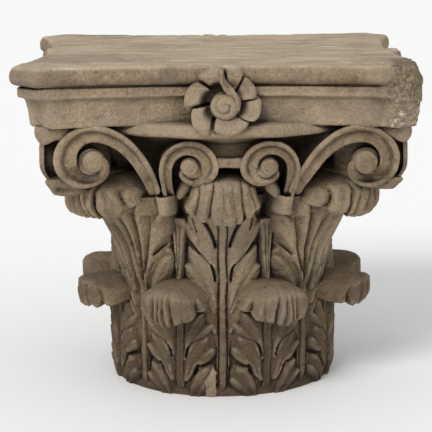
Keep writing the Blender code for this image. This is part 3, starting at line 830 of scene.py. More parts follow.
def lobe(a, z, root, bend, tip, half_width, crown):
    """Height of one lobe over the face of its leaf. Its axis is the quadratic curve root, bend,
    tip. It widens from the root, is widest past its middle and closes round at the tip. Inside
    that outline it is a low vault with a soft fold, and outside it falls away steeply."""
    t = np.linspace(0.0, 1.0, LOBE_STEPS)[:, None]
    root, bend, tip = np.array(root), np.array(bend), np.array(tip)
    way = 2 * (1 - t) * (bend - root) + 2 * t * (tip - bend)
    length = np.linalg.norm(way, axis=1)
    nearest, along, across = nearest_on(bowed(t, root, bend, tip), way / length[:, None], a, z)
    raw = t[nearest, 0] + along / length[nearest]
    place = np.clip(raw, 0.0, 1.0)
    distance = np.hypot(across, (raw - place) * length[nearest])
    widening = 0.35 + 0.65 * smooth_step(place / 0.55)
    reach = half_width * widening * rounded(np.maximum(place - 0.62, 0.0) / 0.38, 2.2)
    share = np.minimum(distance / np.maximum(reach, 1e-4), 1.0)
    vault = crown * (1.0 - share**2.0) ** 1.5
    fold = bump(across - 0.12 * half_width, 0.003) * smooth_step((place - 0.35) / 0.4)
    outside = np.maximum(distance - reach, 0.0)
    return vault - 0.0011 * fold - 3.0 * outside + 0.0012 * place


def lobed(relief, a, z, lobes, crowns, hollow):
    """A sheet with lobes on it, each joined to what lies under it by a soft hollow: the higher
    of the two, rounded where they meet."""
    for line, crown in zip(lobes, crowns):
        height = lobe(a, z, *line, crown)
        relief = 0.5 * (relief + height + np.sqrt((relief - height) ** 2 + hollow**2))
    return relief


def drilled(a, z, line, radii, depth):
    """Depth of a drilled slot: deepest along the curve through the bend from start to end, and
    measured across that curve. Its radius runs through the three values, and its sides are
    steep."""
    t = np.linspace(0.0, 1.0, CUT_STEPS)[:, None]
    path = bowed(t, *[np.array(point) for point in line])
    way, step = directions(path)
    nearest, along, across = nearest_on(path, way, a, z)
    distance = np.hypot(across, np.maximum(np.abs(along) - 0.5 * step[nearest], 0.0))
    radius = np.interp(t[nearest, 0], (0.0, 0.55, 1.0), radii)
    return depth * smooth_step(1.5 - distance / radius)


def cuts(a, z, lines):
    """Depth of the deepest of several drilled slots."""
    return np.maximum.reduce([drilled(a, z, *line) for line in lines])


def upper_relief(a, z, lobes, lines):
    """Relief of an upper leaf over its face, at a distance a from its midrib: a thin sheet with
    a wavy outline, plump lobes on it, the drilled eyes between lobes, and the rounded rib in
    its grooves."""
    sheet = -0.0006 - 0.03 * a - 4.0 * np.maximum(a - np.interp(z, *UPPER_OUTLINE), 0.0)
    relief = lobed(sheet, a, z, lobes, UPPER_CROWNS, 0.0012) - cuts(a, z, lines)
    groove = 0.0034 * bump(a - 0.0057, 0.0009) * smooth_step((0.25 - z) / 0.02)
    rib = 0.0024 * rounded(a / 0.0048, 2)
    return np.where(a < 0.0085, np.maximum(relief, -0.0012) - groove + rib, relief)


def lower_relief(a, z):
    """Relief of a lower leaf over its face: a sheet with a wavy outline, low lobes on it,
    drilled eyes, and a flat rib with a shallow flute between two fine grooves."""
    sheet_half = 0.0462 + 0.0024 * np.cos(2.0 * math.pi * (z - 0.027) / 0.0365)
    sheet = -0.0006 - 0.02 * a - 4.0 * np.maximum(a - sheet_half, 0.0)
    relief = lobed(sheet, a, z, LOWER_LOBES, LOWER_CROWNS, 0.0016) - cuts(a, z, LOWER_CUTS)
    outer_groove = bump(a - np.interp(z, *LOWER_GROOVE), 0.0009)
    relief = relief - 0.0014 * outer_groove * smooth_step((0.06 - z) / 0.02)
    relief = relief - 0.0022 * bump(a - 0.006, 0.0009)
    return relief + 0.0016 * smooth_step((0.0062 - a) / 0.0012) - 0.0009 * bump(a, 0.0022)


def upper_row(azimuth, z):
    """Radius of the upper leaves, which lean out as they rise, and most on the corners."""
    nearest = np.round(azimuth / PITCH)
    a = np.abs(azimuth - nearest * PITCH) * ARC
    on_corner = (nearest % 2) == 1
    lean = np.where(on_corner, np.interp(z, *CORNER_LEAN), np.interp(z, *SIDE_LEAN))
    relief = np.where(on_corner, upper_relief(a, z, CORNER_LOBES, CORNER_CUTS),
                      upper_relief(a, z, UPPER_LOBES, UPPER_CUTS))
    return NECK_RADIUS + lean - 0.007 * (a / 0.047) ** 2 * (1.0 + lean / 0.02) + relief


def stalk(x, z):
    """Radius of the fluted stalk between two upper leaves, which widens as it rises."""
    half = np.interp(z, *STALK_HALF)
    flutes = 0.0012 * np.cos(3.0 * math.pi * x / half) * smooth_step((0.224 - z) / 0.006)
    sides = 10.0 * np.maximum(np.abs(x) - half, 0.0) + 8.0 * np.maximum(z - 0.231, 0.0)
    return np.interp(z, *STALK_FACE) + flutes - sides


def leaf_radius(azimuth, height):
    """Radius of the stone where both rows of leaves lie on the bell: the largest of the core,
    the upper leaf, the lower leaf and the fluted stalk between the upper leaves. Noise shifts
    the places a little, and the foot is rounded off."""
    angle = np.radians(azimuth)
    where = np.stack(
        [LEAF_RADIUS * np.sin(angle), -LEAF_RADIUS * np.cos(angle), height], axis=-1)
    shift = 0.0011 * noise(where, 0.03, 11) + 0.0004 * noise(where, 0.012, 12)
    azimuth = azimuth + shift / ARC
    z = height + 0.0018 * noise(where, 0.035, 13) + 0.0005 * noise(where, 0.011, 14)
    lower = ((azimuth % PITCH) - PITCH / 2) * ARC
    lower_leaf = np.interp(z, *LOWER_FACE) + lower_relief(np.abs(lower), z)
    lower_leaf -= 60.0 * np.maximum(z - 0.15, 0.0)
    radius = np.maximum(np.interp(height, *CORE), upper_row(azimuth, z))
    radius = np.maximum(radius, lower_leaf)
    radius = np.where(z > 0.14, np.maximum(radius, stalk(lower, z)), radius)
    return radius - 0.0045 * (1.0 - smooth_step(height / 0.026)) ** 2


def chipped(azimuth, height):
    """How far inside the chip at the foot a place is, from 0 to 1. The chip lies left of the
    front rib. It is ragged, widest half way up, and leans to the right at its top."""
    u = azimuth * ARC + CHIP_PLACE
    where = np.stack([u, height, 0.0 * u], axis=-1)
    inside = np.interp(height, *CHIP_HALF) - np.abs(u - np.interp(height, *CHIP_LEAN))
    inside = inside + 0.0014 * noise(where, 0.008, 41)
    return smooth_step(inside / 0.0016) * (height < CHIP_TOP)


def drum(heights, tuck):
    """A band of the leaf zone as one closed skin: the carved radius carried round the axis, and
    drawn in by the tuck of its row where one band slips under the next."""
    azimuths = np.arange(DRUM_COLUMNS) * 360.0 / DRUM_COLUMNS - 180.0
    azimuth, height = np.meshgrid(azimuths, heights)
    radius = leaf_radius(azimuth, height)
    chip = 0.1404 - 0.1 * np.abs(azimuth * ARC + CHIP_PLACE) - 0.03 * height
    radius += chipped(azimuth, height) * (chip - radius) + tuck[:, None]
    angle = np.radians(azimuth)
    return tube(np.stack([radius * np.sin(angle), -radius * np.cos(angle), height], axis=-1))


def creased(u, creases):
    """Depth of the creases and how far they notch the edge, both across a leaf tip. Each is
    greatest in its crease and falls to nothing at the middle of the roll beside it. The notch
    also holds how much shorter each roll is, blended from roll to roll."""
    place, depth, notch, short = creases
    u = np.clip(u, -1.0, 1.0)
    after = np.clip(np.searchsorted(place, u), 1, len(place) - 1)
    across = 2.0 * (u - place[after - 1]) / (place[after] - place[after - 1]) - 1.0
    near = np.where(across < 0.0, after - 1, after)
    across = np.abs(across)
    shorter = np.interp(u, 0.5 * (place[1:] + place[:-1]), short[:-1])
    notches = notch[near] * (0.45 * across**2 + 0.55 * across**8)
    return depth[near] * (0.5 * across**2 + 0.5 * across**6), notches + shorter


def drawn_creases(creases, draw):
    """The creases of one tip, each a little off its place and depth."""
    place, depth, notch, short = np.array(creases).T
    place[1:-1] += draw.uniform(-0.025, 0.025, len(place) - 2)
    return place, depth * draw.uniform(0.85, 1.15, len(place)), notch, short


def across_tip(ends, u, power):
    """A value that runs from the middle of a tip to its ends by a power of the place across."""
    return (ends[0] + (ends[1] - ends[0]) * np.abs(u) ** power)[:, None]


def tip_levels(notch, waver):
    """Where each row of a tip lies: from 1.25 to 0 over the curl, a share of a quarter turn, and
    from there down to -1 at the lip, less where a crease notches it or it wavers."""
    arc = np.linspace(1.25, 0.0, ARC_STEPS + 1)[None, :-1]
    fall = np.linspace(0.0, 1.0, FALL_STEPS) * (1.0 - notch + waver)
    return np.concatenate([np.broadcast_to(arc, (len(fall), ARC_STEPS)), -fall], axis=1)


def tip_cut(u, level, creases, spec, seed):
    """How deep the face of a tip is cut: creases that fan out from the top and grow on their way
    down, fine folds between them, and a lip that curls in."""
    past_half = smooth_step((-level - 0.5) / 0.5)
    grow = smooth_step((spec["start"] - level) / 0.8) * (1.0 + 0.5 * past_half)
    fanned = u * (1.0 + spec["fan"] * smooth_step((level + 0.2) / 0.9))
    fanned = fanned + 0.02 * np.sin(4.0 * level + 9.0 * u)
    lip = smooth_step((np.linspace(0.0, 1.0, FALL_STEPS) - 0.84) / 0.16)
    curl = np.concatenate([np.zeros(ARC_STEPS), 0.0032 * lip])
    where = np.stack([fanned * 0.05, 0.012 * level, 0.0 * level + 0.01 * seed], axis=-1)
    folds = 0.0015 * noise(where, 0.0052, 51) * grow
    return creased(fanned, creases)[0] * (0.04 + 0.96 * grow) + curl + folds


def tip_under(d, z, sideways, wall, middle, lip):
    """The rows of a tip's face between a first row set in the wall and the hollow under side, a
    quadratic curve from the lip back into the wall."""
    under = np.linspace(0.0, 1.0, UNDER_STEPS)[None, :]
    lip_d, lip_z = d[:, -1:] - 0.0025, z[:, -1:] + 0.0006
    under_d = bowed(under, lip_d, 0.4 * wall + 0.6 * lip_d, wall - SUNK)
    under_z = bowed(under, lip_z, lip_z + 0.35 * (middle - lip), middle - 0.45 * (middle - lip))
    ending = sideways[:, -1:] * (1.0 - under)
    return (np.concatenate([wall - SUNK, d, under_d], axis=1),
            np.concatenate([z[:, :1] - 0.004, z, under_z], axis=1),
            np.concatenate([0.0 * wall, sideways, ending], axis=1))


def leaf_tip(azimuth, hand, seed, raised, spec):
    """A leaf's curled tip. Its section is a squarish quarter arc from the wall up and over to
    the front, a nearly upright face down to the lip, and a hollow under side back to the wall.
    Front, top, middle and lip run from their middle to their end values by a power of the
    place across. Creases part the face into rolls and notch the lip. The tip is narrower where
    it leaves the wall and at its top, and may flare towards the lip."""
    u = np.sin(np.linspace(-0.5, 0.5, TIP_COLUMNS) * math.pi * 0.985)
    draw = np.random.default_rng(seed)
    creases = drawn_creases(spec["creases"], draw)
    waver = np.interp(u, np.linspace(-1.0, 1.0, 8), draw.uniform(-0.06, 0.04, 8))
    level = tip_levels(creased(u, creases)[1][:, None], waver[:, None])
    front, top, middle = [across_tip(spec[key], u, 2.3) for key in ("front", "top", "middle")]
    lip = across_tip(spec["lip"], u, 1.4) + raised
    closing = rounded(np.abs(u), spec["roundness"], 0.002)[:, None]
    u = u[:, None]
    x = spec["half_width"] * u
    wall = np.sqrt(spec["wall"]**2 - x**2)
    reach = front - wall
    slope = -np.gradient((wall + reach * closing)[:, 0], x[:, 0])[:, None]

    angle = np.maximum(level, 0.0) * math.pi / 2
    over = np.maximum(-level, 0.0)
    out = squarish(np.cos(angle), 0.8) - spec["tuck"] * over**3
    cut = tip_cut(u, level, creases, spec, seed)
    inward = cut * np.cos(angle) / np.sqrt(1.0 + slope**2)
    hang = 0.4 + 0.6 * closing
    d = wall + reach * closing * out - inward
    z = middle + (top - middle) * hang * np.sin(angle) ** 0.8 - cut * np.sin(angle)
    z = z - (middle - lip) * hang * over
    d, z, sideways = tip_under(d, z, inward * slope, wall, middle, lip)
    narrow = spec["waist"] + (1.0 - spec["waist"]) * smooth_step((top + 0.004 - z) / (top - lip))
    narrow = narrow * (0.86 + 0.14 * smooth_step((d - wall) / reach))
    flare = spec["flare"] * u * smooth_step((middle - z) / (middle - lip)) * (d > wall)
    return carved(hand * ((x - sideways) * narrow + flare), d, z, azimuth)


# Scrolls


def strap_face(x, z):
    """Distance from the axis to the face of a band: it springs near the bell and leans out."""
    full = STRAP_FACE_DEPTH + STRAP_CORNER_GAIN * (x / 0.2) ** 2
    return STRAP_FOOT_DEPTH + (full - STRAP_FOOT_DEPTH) * smooth_step((z - 0.255) / 0.055)


def strap_back(x):
    """Distance from the axis to the back of a band."""
    return STRAP_BACK + (STRAP_BACK_CORNER - STRAP_BACK) * smooth_step((x - 0.095) / 0.04)


def evened(rows, times):
    """Rows of numbers with each row but the first and last set to the mean of itself and its
    neighbours, several times over."""
    for _ in range(times):
        rows = np.concatenate([rows[:1], (rows[:-2] + rows[1:-1] + rows[2:]) / 3.0, rows[-1:]])
    return rows


def winding(spec):
    """Which way a scroll turns: volutes one way from their top, helices the other from a side."""
    return -1.0 if spec["start_deg"] == 90.0 else 1.0


def scroll_line(spec):
    """The middle line of a scroll, half the width of its band, and how many quarter turns it
    has made, or -1 on the stem. The stem is a cubic curve. The spiral's radius runs through the
    quarter-turn values, and its band ends round."""
    quarters = np.linspace(0.0, spec["quarters"], SCROLL_STEPS)
    radius = np.interp(quarters, np.arange(5), spec["radii"])
    half = np.interp(quarters, np.arange(5), spec["halves"])
    half = half * np.sqrt(np.clip((spec["quarters"] - quarters) / 0.5, 0.01, 1.0))
    angle = np.radians(spec["start_deg"]) + winding(spec) * quarters * math.pi / 2
    spiral = radius[:, None] * np.stack([np.cos(angle), np.sin(angle)], axis=-1)
    spiral = np.array(spec["centre"]) + spiral
    line = np.concatenate([bezier([*spec["stem"], spiral[0]], STEM_STEPS), spiral])
    stem_half = np.linspace(spec["stem_half"], half[0], STEM_STEPS, endpoint=False)
    half = evened(np.concatenate([stem_half, half])[:, None], 6)
    return evened(line, 6), half, np.concatenate([np.full(STEM_STEPS, -1.0), quarters])


def band_relief(spec, side, turn):
    """Relief of a band over its face, from 1 at its outer edge to -1: a raised rim, a hollow
    channel and a thin inner rim, which turn into a plain roll towards the eye."""
    edge = 1.0 - 2.0 * spec["rim"]
    rim = 0.0016 * rounded((side - (1.0 + edge) / 2) / (0.5 * (1.0 - edge)), 2)
    inward = np.clip((edge - side) / (edge + 0.92), 0.0, 1.0)
    channel = -0.0072 * smooth_step(inward / 0.2) * (1.0 - 0.3 * inward**3)
    face = rim + channel - 0.0014 * (side < -0.88)
    share = smooth_step((turn - spec["roll_start"]) / (spec["roll_end"] - spec["roll_start"]))
    sunk = -0.0022 * smooth_step((turn - 2.4) / 1.2)
    return face * (1.0 - share) + (0.0022 - 0.0062 * side**2) * share + sunk


def scroll_band(spec, azimuth, hand, drift):
    """The band of a scroll: its section carried along the middle line. Its outer side is
    stepped in behind the rim, and its foot grows out of the stone."""
    line, half, turn = scroll_line(spec)
    along = directions(line)[0]
    side = np.linspace(1.0, -1.0, 26)[None, :]
    relief = band_relief(spec, side, turn[:, None])
    foot = rounded(1.0 - np.minimum(travelled(line) / 0.009, 1.0), 2)[:, None]
    half = half * (0.25 + 0.75 * foot)
    taper = np.minimum(spec["taper"], 1.2 * half)
    base = strap_face(line[:, :1], line[:, 1:]) - 0.009 * (1.0 - foot)
    back = strap_back(line[:, :1])
    face = base + relief
    laps = (base - np.minimum(np.array([LAP]), 0.5 * (base - back)))[:, ::-1]
    pulled = (taper * np.array([LAP_PULL]))[:, ::-1]
    d = np.concatenate([back, laps, face, face[:, -1:] - 0.004, back], axis=1)
    offset = np.concatenate(
        [half - taper, half - pulled, half * side, -half, -half], axis=1) * winding(spec)
    x = line[:, :1] + along[:, 1:] * offset
    z = line[:, 1:] - along[:, :1] * offset
    return carved(x * hand + drift, d, z, azimuth)


def scroll_disc(spec, share, depth, reach, shift, azimuth, hand, drift):
    """A round skin in the middle of a scroll: circles of a share of its reach, at a depth off
    the face of the band."""
    angles = around(54)
    x = spec["centre"][0] + shift[0] + share * reach * np.cos(angles)
    z = spec["centre"][1] + shift[1] + share * reach * np.sin(angles)
    return carved(x * hand + drift, strap_face(*spec["centre"]) + depth, z, azimuth)


def scroll_eye(spec, azimuth, hand, drift):
    """The button in the middle of a scroll: a drum with a domed crown, cut by a short spiral
    groove, on a sunk backing disc that fills the spiral's outer side."""
    crown = np.linspace(0.02, 1.0, 14)
    share = np.concatenate([crown, [1.0, 0.98]])[:, None]
    dome = -0.0045 + 0.009 * rounded(crown, 2.8)
    spiral = (spec["eye_phase"] + around(54) / (2.0 * math.pi) + 0.55 * share) % 1.0
    groove = bump(spiral - 0.5, 0.1) * smooth_step((share - 0.3) / 0.3) * (share < 0.95)
    depth = np.concatenate([dome, [-0.012, -0.024]])[:, None] - 0.0012 * groove
    place = azimuth, hand, drift
    *shift, reach = spec["backing"]
    backing_share, backing_depth = np.array(BACKING).T[..., None]
    return [scroll_disc(spec, share, depth, spec["eye"], spec["eye_shift"], *place),
            scroll_disc(spec, backing_share, backing_depth, reach, shift, *place)]


def scroll(spec, azimuth, hand, drift=0.0):
    """One scroll: its band, its eye and the disc behind the eye."""
    place = azimuth, hand, drift
    return [scroll_band(spec, *place)] + scroll_eye(spec, *place)


def tie(shape, azimuth, drift):
    """The bar between the two inner scrolls, or the web that leans back over it: a rounded box
    profile drawn sideways."""
    half_width, (middle_d, middle_z), (half_d, half_z), lean, ends = shape
    side, up = squarish(np.cos(around(32)), 0.5), squarish(np.sin(around(32)), 0.5)
    x = np.linspace(-half_width, half_width, 13)[:, None]
    z = middle_z + half_z * up * (1.0 + ends * (x / half_width) ** 2)
    return carved(x + drift, middle_d + half_d * side - lean * up, z, azimuth)


def cup(azimuth):
    """The small cup under each pair of bands: ellipses that flare to a rolled rim."""
    angles = around(48)
    height, half_width, half_depth = np.array(CUP).T[..., None]
    x = half_width * squarish(np.cos(angles), 0.7)
    z = height + 0.0018 * (np.cos(angles) ** 2) * (height > 0.256)
    return carved(x, CUP_MIDDLE + half_depth * np.sin(angles), z, azimuth)


def tongue(azimuth, hand, drift):
    """A small leaf tongue beside a cup: an ellipse carried from start to end, given as
    (x, d, z). Both ends are round."""
    to_side = np.array([hand, 1.0, 1.0])
    shift = np.array([drift, 0.0, 0.0])
    start, end = np.array(TONGUE_START) * to_side + shift, np.array(TONGUE_END) * to_side + shift
    t = np.linspace(0.0, 1.0, 22)[:, None]
    ends = rounded(np.abs(2.0 * t - 1.0), 4, 0.01)
    full = TONGUE_HALF * (0.58 + 0.42 * smooth_step(t / 0.7)) * ends
    way = (end - start) / np.linalg.norm(end - start)
    side = np.array([way[2], 0.0, -way[0]])
    side /= np.linalg.norm(side)
    angles = around(20)[None, :, None]
    ring = side * np.cos(angles) + np.array([0.0, 0.9, 0.0]) * np.sin(angles)
    return tube(turned((start + (end - start) * t)[:, None, :] + full[:, None, :] * ring, azimuth))


# Abacus, bell and the ornaments on them


def horned_outline(inset):
    """One ring of the abacus: four hollowed sides that meet in chopped horns, x and y, pushed
    in by the inset, with evenly spaced points whose corners are rounded by a moving mean."""
    x = np.linspace(-HORN_START, HORN_START, 81)
    share = x / HORN_START
    d = WIDTH / 2 - SIDE_HOLLOW * (1.0 - share**2) + HORN_STRETCH * share**8
    side = np.stack([x * (1.0 - inset / HORN_START), d - inset, 0.0 * x], axis=-1)
    ring = np.concatenate([turned(side, 90.0 * number) for number in range(4)])[:, :2]
    closed = np.concatenate([ring, ring[:1]])
    run = travelled(closed)
    even = np.linspace(0.0, run[-1], ABACUS_COLUMNS, endpoint=False)
    ring = np.stack([np.interp(even, run, closed[:, axis]) for axis in (0, 1)], axis=-1)
    reach = int(HORN_ROUND / (run[-1] / ABACUS_COLUMNS))
    return sum(np.roll(ring, step, axis=0) for step in range(-reach, reach + 1)) / (2 * reach + 1)


def break_away(points):
    """Cut the front right horn back to two rough faces that lean in towards the top."""
    x, y, z = np.moveaxis(points, -1, 0)
    lean = BREAK_LEAN * np.maximum(z - 0.405, 0.0) + 0.0025 * noise(points, 0.03, 21)
    lean += BREAK_FOOT * np.maximum(0.39 - z, 0.0)
    behind = smooth_step((-y - BREAK_START[0]) / 0.06) * (x > 0.1)
    beside = smooth_step((x - BREAK_START[1]) / 0.03) * (y < -0.1)
    moved = points.copy()
    moved[..., 0] -= np.maximum(x - (BREAK_RIGHT - lean), 0.0) * behind
    moved[..., 1] += np.maximum(-y - (BREAK_FRONT - lean), 0.0) * beside
    return moved


def abacus():
    """The moulding carried round the hollowed sides and horns. Rings that close in towards the
    axis make the upper and lower beds. Where the horn is broken the moulding is gone."""
    insets, heights = respaced(np.array(MOULDING).T, 72)
    outlines = np.array([horned_outline(inset) for inset in insets[:, 0]])
    levels = np.broadcast_to(heights[..., None], (*outlines.shape[:2], 1))
    rings = np.concatenate([outlines, levels], axis=-1)
    rings[..., :2] += breakage(rings)[..., None] * (horned_outline(BREAK_INSET) - rings[..., :2])
    flat = np.concatenate([outlines, levels], axis=-1)
    top = [flat[0] * (share, share, 1.0) for share in np.linspace(0.0, 1.0, 30)[1:-1]]
    bottom = [flat[-1] * (share, share, 1.0) for share in np.linspace(1.0, 0.0, 10)[1:-1]]
    rows = np.concatenate([top, rings, bottom])
    rows[..., :2] += 0.0012 * noise(rows, 0.05, 22)[..., None] * np.sign(rows[..., :2])
    return tube(break_away(rows))


def bell():
    """The bell above the leaves and its rim: a profile turned about the axis."""
    height, radius = respaced(np.array(BELL_PROFILE).T, 50)
    angles = around(250)
    return carved(radius * np.cos(angles), -radius * np.sin(angles), height, 0.0)


def petal_depth(rings, before, after, sink, z):
    """Distance of a petal from the axis, by its rings and by how many degrees lie before and
    after a place on it. It has a rounded lip on its clockwise side, is nearly flat, and falls
    into a slot under the lip of the next. It sinks towards the boss, rounds over at the rim,
    and stands out further in the lower half of the flower."""
    d = FLOWER_FACE + 0.003 * rings + 0.005 * after / (before + after)
    d = d - (0.013 - 0.006 * rings) * smooth_step((11.0 - after) / 7.5)
    d = d - 0.0022 * (1.0 - np.minimum(before / 6.0, 1.0)) ** 2
    d = d - sink * smooth_step((0.64 - rings) / 0.26)
    d = d - 0.004 * smooth_step((rings - 0.84) / 0.16) ** 2
    return d + 0.0105 * smooth_step((FLOWER_MIDDLE[1] - 0.004 - z) / 0.022)


def petals(draw):
    """The whirl of petals of a flower in x, d and z: rings from under the boss to a scalloped
    rim, where they turn back to the abacus. Each petal hangs over its neighbour."""
    inner, outer, reach, sink = np.array(PETALS).T[..., None]
    share = np.linspace(0.0, 1.0, PETAL_COLUMNS) ** 1.15
    across = np.broadcast_to(share, (len(PETALS), PETAL_COLUMNS))
    rings = np.concatenate([np.linspace(0.0, 1.0, 20), [1.0, 0.985, 0.96]])[:, None, None]
    side = inner + (outer - inner) * rings
    width = np.concatenate([side[:, 1:], side[:, :1] + 360.0], axis=1) - side
    before, after = width * across, width * (1.0 - across)
    angle = np.radians(side + before - 5.0 * (1.0 - np.minimum(before / 9.0, 1.0)) * rings)
    far = reach * (1.0 + draw.uniform(-0.04, 0.04, reach.shape)) * (0.12 + 0.88 * rings)
    far = far * (1.0 - 0.13 * np.abs(2.0 * across - 1.0) ** 3.5)
    x = FLOWER_MIDDLE[0] + far * np.cos(angle)
    z = FLOWER_MIDDLE[1] + far * np.sin(angle)
    d = petal_depth(rings, before, after, sink, z)
    d[-3] -= 0.004
    d[-2] -= 0.01
    d[-1] = FLOWER_BACK
    return np.stack([x, d, z], axis=-1).reshape(len(rings), -1, 3)


def flower_boss():
    """The boss of a flower in x, d and z: a dome with a soft spiral groove."""
    angles = around(72)[None, :]
    rings = np.concatenate([np.linspace(0.02, 1.0, 26), [1.02, 1.0]])[:, None]
    spiral = (angles / (2.0 * math.pi) + 1.15 * rings + 0.2) % 1.0
    groove = bump(spiral - 0.5, 0.17) * smooth_step((rings - 0.1) / 0.2) * (rings < 0.95)
    d = FLOWER_FACE + 0.0045 + 0.01 * rounded(np.minimum(rings, 1.0), 2.6) - 0.003 * groove
    x = FLOWER_MIDDLE[0] + FLOWER_BOSS * rings * np.cos(angles)
    z = FLOWER_MIDDLE[1] + FLOWER_BOSS * rings * np.sin(angles)
    d[-1] = FLOWER_BACK
    return np.stack([x, d, z], axis=-1)


def flower_tail():
    """The twisted stalk of a flower in x, d and z: a ring with three ribs that turns as it is
    carried along a cubic curve from beside the boss to the top of the abacus."""
    line = np.concatenate([bezier(TAIL, 46), TAIL[-1:]])
    along = directions(line)[0]
    t = np.linspace(0.0, 1.0, len(line))[:, None]
    angles = around(30)[None, :]
    half = np.interp(t, *TAIL_HALF) * (1.0 + 0.16 * np.cos(3.0 * angles + 9.0 * t))
    x = FLOWER_MIDDLE[0] + line[:, :1] + half * np.cos(angles) * along[:, 1:]
    z = FLOWER_MIDDLE[1] + line[:, 1:] - half * np.cos(angles) * along[:, :1]
    d = np.interp(t, *TAIL_DEPTH) + 1.2 * half * np.sin(angles)
    return np.stack([x, d, z], axis=-1)


def flower(azimuth, seed, worn):
    """The flower in the middle of a side of the abacus: boss, stalk and whirl of petals, cut
    off by the upper bed, and worn back where they stand out."""
    skins = [flower_boss(), flower_tail(), petals(np.random.default_rng(seed))]
    for points in skins:
        points[..., 2] = np.minimum(points[..., 2], HEIGHT - 0.0004)
        points[..., 1] -= worn * (points[..., 1] > WORN_FROM)
    return [tube(turned(points, azimuth)) for points in skins]


def corner_stone(azimuth):
    """The stone between the two volutes of a corner: ovals, narrow between the volutes and
    wide in the block under them, whose foot may be raised, and which may have a small hole."""
    angles = around(48)
    height, half, nose = np.array(CORNER_STONE).T
    raised = RAISED_FOOT[1] * (azimuth == RAISED_FOOT[0])
    height = height + raised * np.clip((BLOCK_TOP - height) / (BLOCK_TOP - height[0]), 0.0, 1.0)
    height, half, nose = respaced([height, half, nose], 80)
    x = half * np.cos(angles)
    d = CORNER_MIDDLE + (nose - CORNER_MIDDLE) * squarish(np.sin(angles), 0.9)
    away_x = (x - HOLE_PLACE[0]) / HOLE_REACH[0]
    away_z = (height - HOLE_PLACE[1]) / HOLE_REACH[1]
    hole = SMALL_HOLE[1] * (azimuth == SMALL_HOLE[0]) * np.exp(-(away_x**2 + away_z**2))
    return carved(x, d - hole * (d > CORNER_MIDDLE), height, azimuth)


def horn_leaf(azimuth):
    """The small leaf under each horn: ellipses hung under the abacus, cut off by it and carried
    out along the diagonal, drooping to a wavy edge and ending in a round bud."""
    t = np.linspace(0.0, 1.0, 44)[:, None]
    end = rounded(np.maximum(t - 0.8, 0.0) / 0.2, 2, 0.0009)
    angles = np.linspace(-0.7, math.pi + 0.7, 34)
    fold = 1.0 - 0.35 * np.clip(np.sin(angles), 0.0, 1.0) ** 4 * (t < 0.74)
    hung = squarish(np.sin(angles), 0.7)
    drop = np.interp(t, *HORN_DROP) * end * fold * (hung - hung[0]) / (1.0 - hung[0])
    x = np.interp(t, *HORN_HALF) * end * np.cos(angles)
    return carved(x, HORN_ROOT + HORN_REACH * t, HORN_TOP - drop, azimuth)


def build_drums():
    """The leaf zone in two bands. Each slips under the other where they meet."""
    foot = np.arange(0.0, SEAM_HEIGHT, DRUM_STEP)
    lap = foot[-1] + DRUM_STEP * np.arange(1, len(FOOT_TUCK) + 1)
    tuck = np.concatenate([0.0 * foot, FOOT_TUCK])
    piece("leaf_drum_foot", [drum(np.concatenate([foot, lap]), tuck)])
    head = np.arange(foot[-1] + DRUM_STEP, DRUM_TOP, DRUM_STEP)
    lap = head[0] - DRUM_STEP * np.arange(len(HEAD_TUCK), 0, -1)
    tuck = np.concatenate([HEAD_TUCK, 0.0 * head])
    piece("leaf_drum_head", [drum(np.concatenate([lap, head]), tuck)])


def build_tips(azimuths, between):
    """The curled tips of both rows of leaves."""
    piece("lower_leaf_tips", [
        leaf_tip(azimuth, -1 if number % 2 else 1, number, LOWER_RAISED[number],
                 LOWER_TIP if number in (0, LEAVES - 1) else FAR_TIP)
        for number, azimuth in enumerate(between)])
    piece("upper_leaf_tips", [
        leaf_tip(azimuth, 1, 20 + number, 0.0, CORNER_TIP if number % 2 else SIDE_TIP)
        for number, azimuth in enumerate(azimuths)])


def build_scrolls(sides, between):
    """The volutes, the inner scrolls with their ties, and the cups that they grow from."""
    volutes, helices, tongues = [], [], []
    for azimuth in sides:
        drift = HELIX_DRIFT * (azimuth == 0.0)
        for hand in (-1, 1):
            spec = VOLUTE_RIGHT if azimuth == 0.0 and hand == 1 else VOLUTE
            volutes += scroll(spec, azimuth, hand)
            helices += scroll(HELIX, azimuth, hand, drift)
            tongues.append(tongue(azimuth, hand, drift))
        helices += [tie(shape, azimuth, drift) for shape in (TIE_BAR, TIE_WEB)]
    piece("volutes", volutes, 0.8)
    piece("helices", helices, 0.8)
    piece("cups", [cup(azimuth + stray) for azimuth, stray in zip(between, CUP_DRIFT)] + tongues)


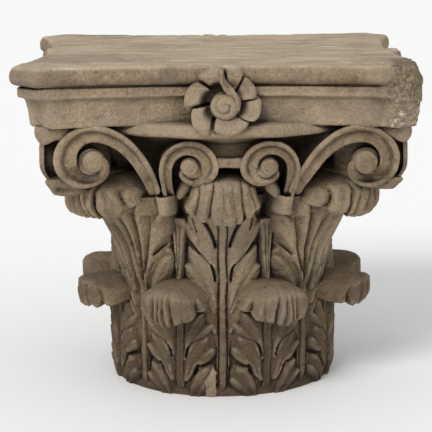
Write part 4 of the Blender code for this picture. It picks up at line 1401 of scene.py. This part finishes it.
def build_capital():
    """Every piece of the capital."""
    azimuths = [PITCH * number for number in range(LEAVES)]
    between = [azimuth + PITCH / 2 for azimuth in azimuths]
    sides, corners = azimuths[::2], azimuths[1::2]
    build_drums()
    build_tips(azimuths, between)
    build_scrolls(sides, between)
    flowers = [flower(azimuth, 40 + number, FLOWER_WORN[number])
               for number, azimuth in enumerate(sides)]
    piece("flowers", sum(flowers, []), 0.8)
    piece("abacus", [abacus()])
    piece("bell", [bell()])
    piece("corners", [make(azimuth) for make in (corner_stone, horn_leaf) for azimuth in corners])


# Studio


def lay_floor():
    """A pale, wide floor."""
    mesh = bpy.data.meshes.new("floor")
    ends = (-1, -1), (1, -1), (1, 1), (-1, 1)
    mesh.from_pydata([(FLOOR_HALF * x, FLOOR_HALF * y, 0.0) for x, y in ends], [], [(0, 1, 2, 3)])
    pale = bpy.data.materials.new("pale_floor")
    pale.use_nodes = True
    shader = pale.node_tree.nodes["Principled BSDF"]
    shader.inputs["Base Color"].default_value = FLOOR_COLOUR
    shader.inputs["Roughness"].default_value = 0.9
    mesh.materials.append(pale)
    floor = placed("floor", mesh)


def hang_lights():
    """A soft key and fill light and a white sky."""
    world = bpy.data.worlds.new("studio")
    bpy.context.scene.world = world
    world.use_nodes = True
    sky = world.node_tree.nodes["Background"]
    sky.inputs["Color"].default_value = (1.0, 1.0, 1.0, 1.0)
    sky.inputs["Strength"].default_value = SKY_STRENGTH
    for name, toward, strength, spread in LAMPS:
        lamp = bpy.data.lights.new(name, "SUN")
        lamp.energy = strength
        lamp.angle = math.radians(spread)
        turn = Vector(toward).to_track_quat("-Z", "Y")
        placed(name, lamp).matrix_world = turn.to_matrix().to_4x4()
    bpy.context.scene.view_settings.view_transform = "Standard"


def set_camera():
    """The camera, in front of the capital and a little above it."""
    camera = bpy.data.cameras.new("camera")
    camera.sensor_width = 36.0
    camera.lens = CAMERA_LENS
    item = placed("camera", camera)
    item.matrix_world = (
        Matrix.Rotation(-CAMERA_TURN, 4, "Z")
        @ Matrix.Translation(CAMERA_PLACE)
        @ Matrix.Rotation(math.pi / 2 - CAMERA_DIP, 4, "X")
        @ Matrix.Rotation(CAMERA_ROLL, 4, "Z")
    )
    bpy.context.scene.camera = item


STONE = stone()
build_capital()
lay_floor()
hang_lights()
set_camera()
bpy.context.view_layer.update()
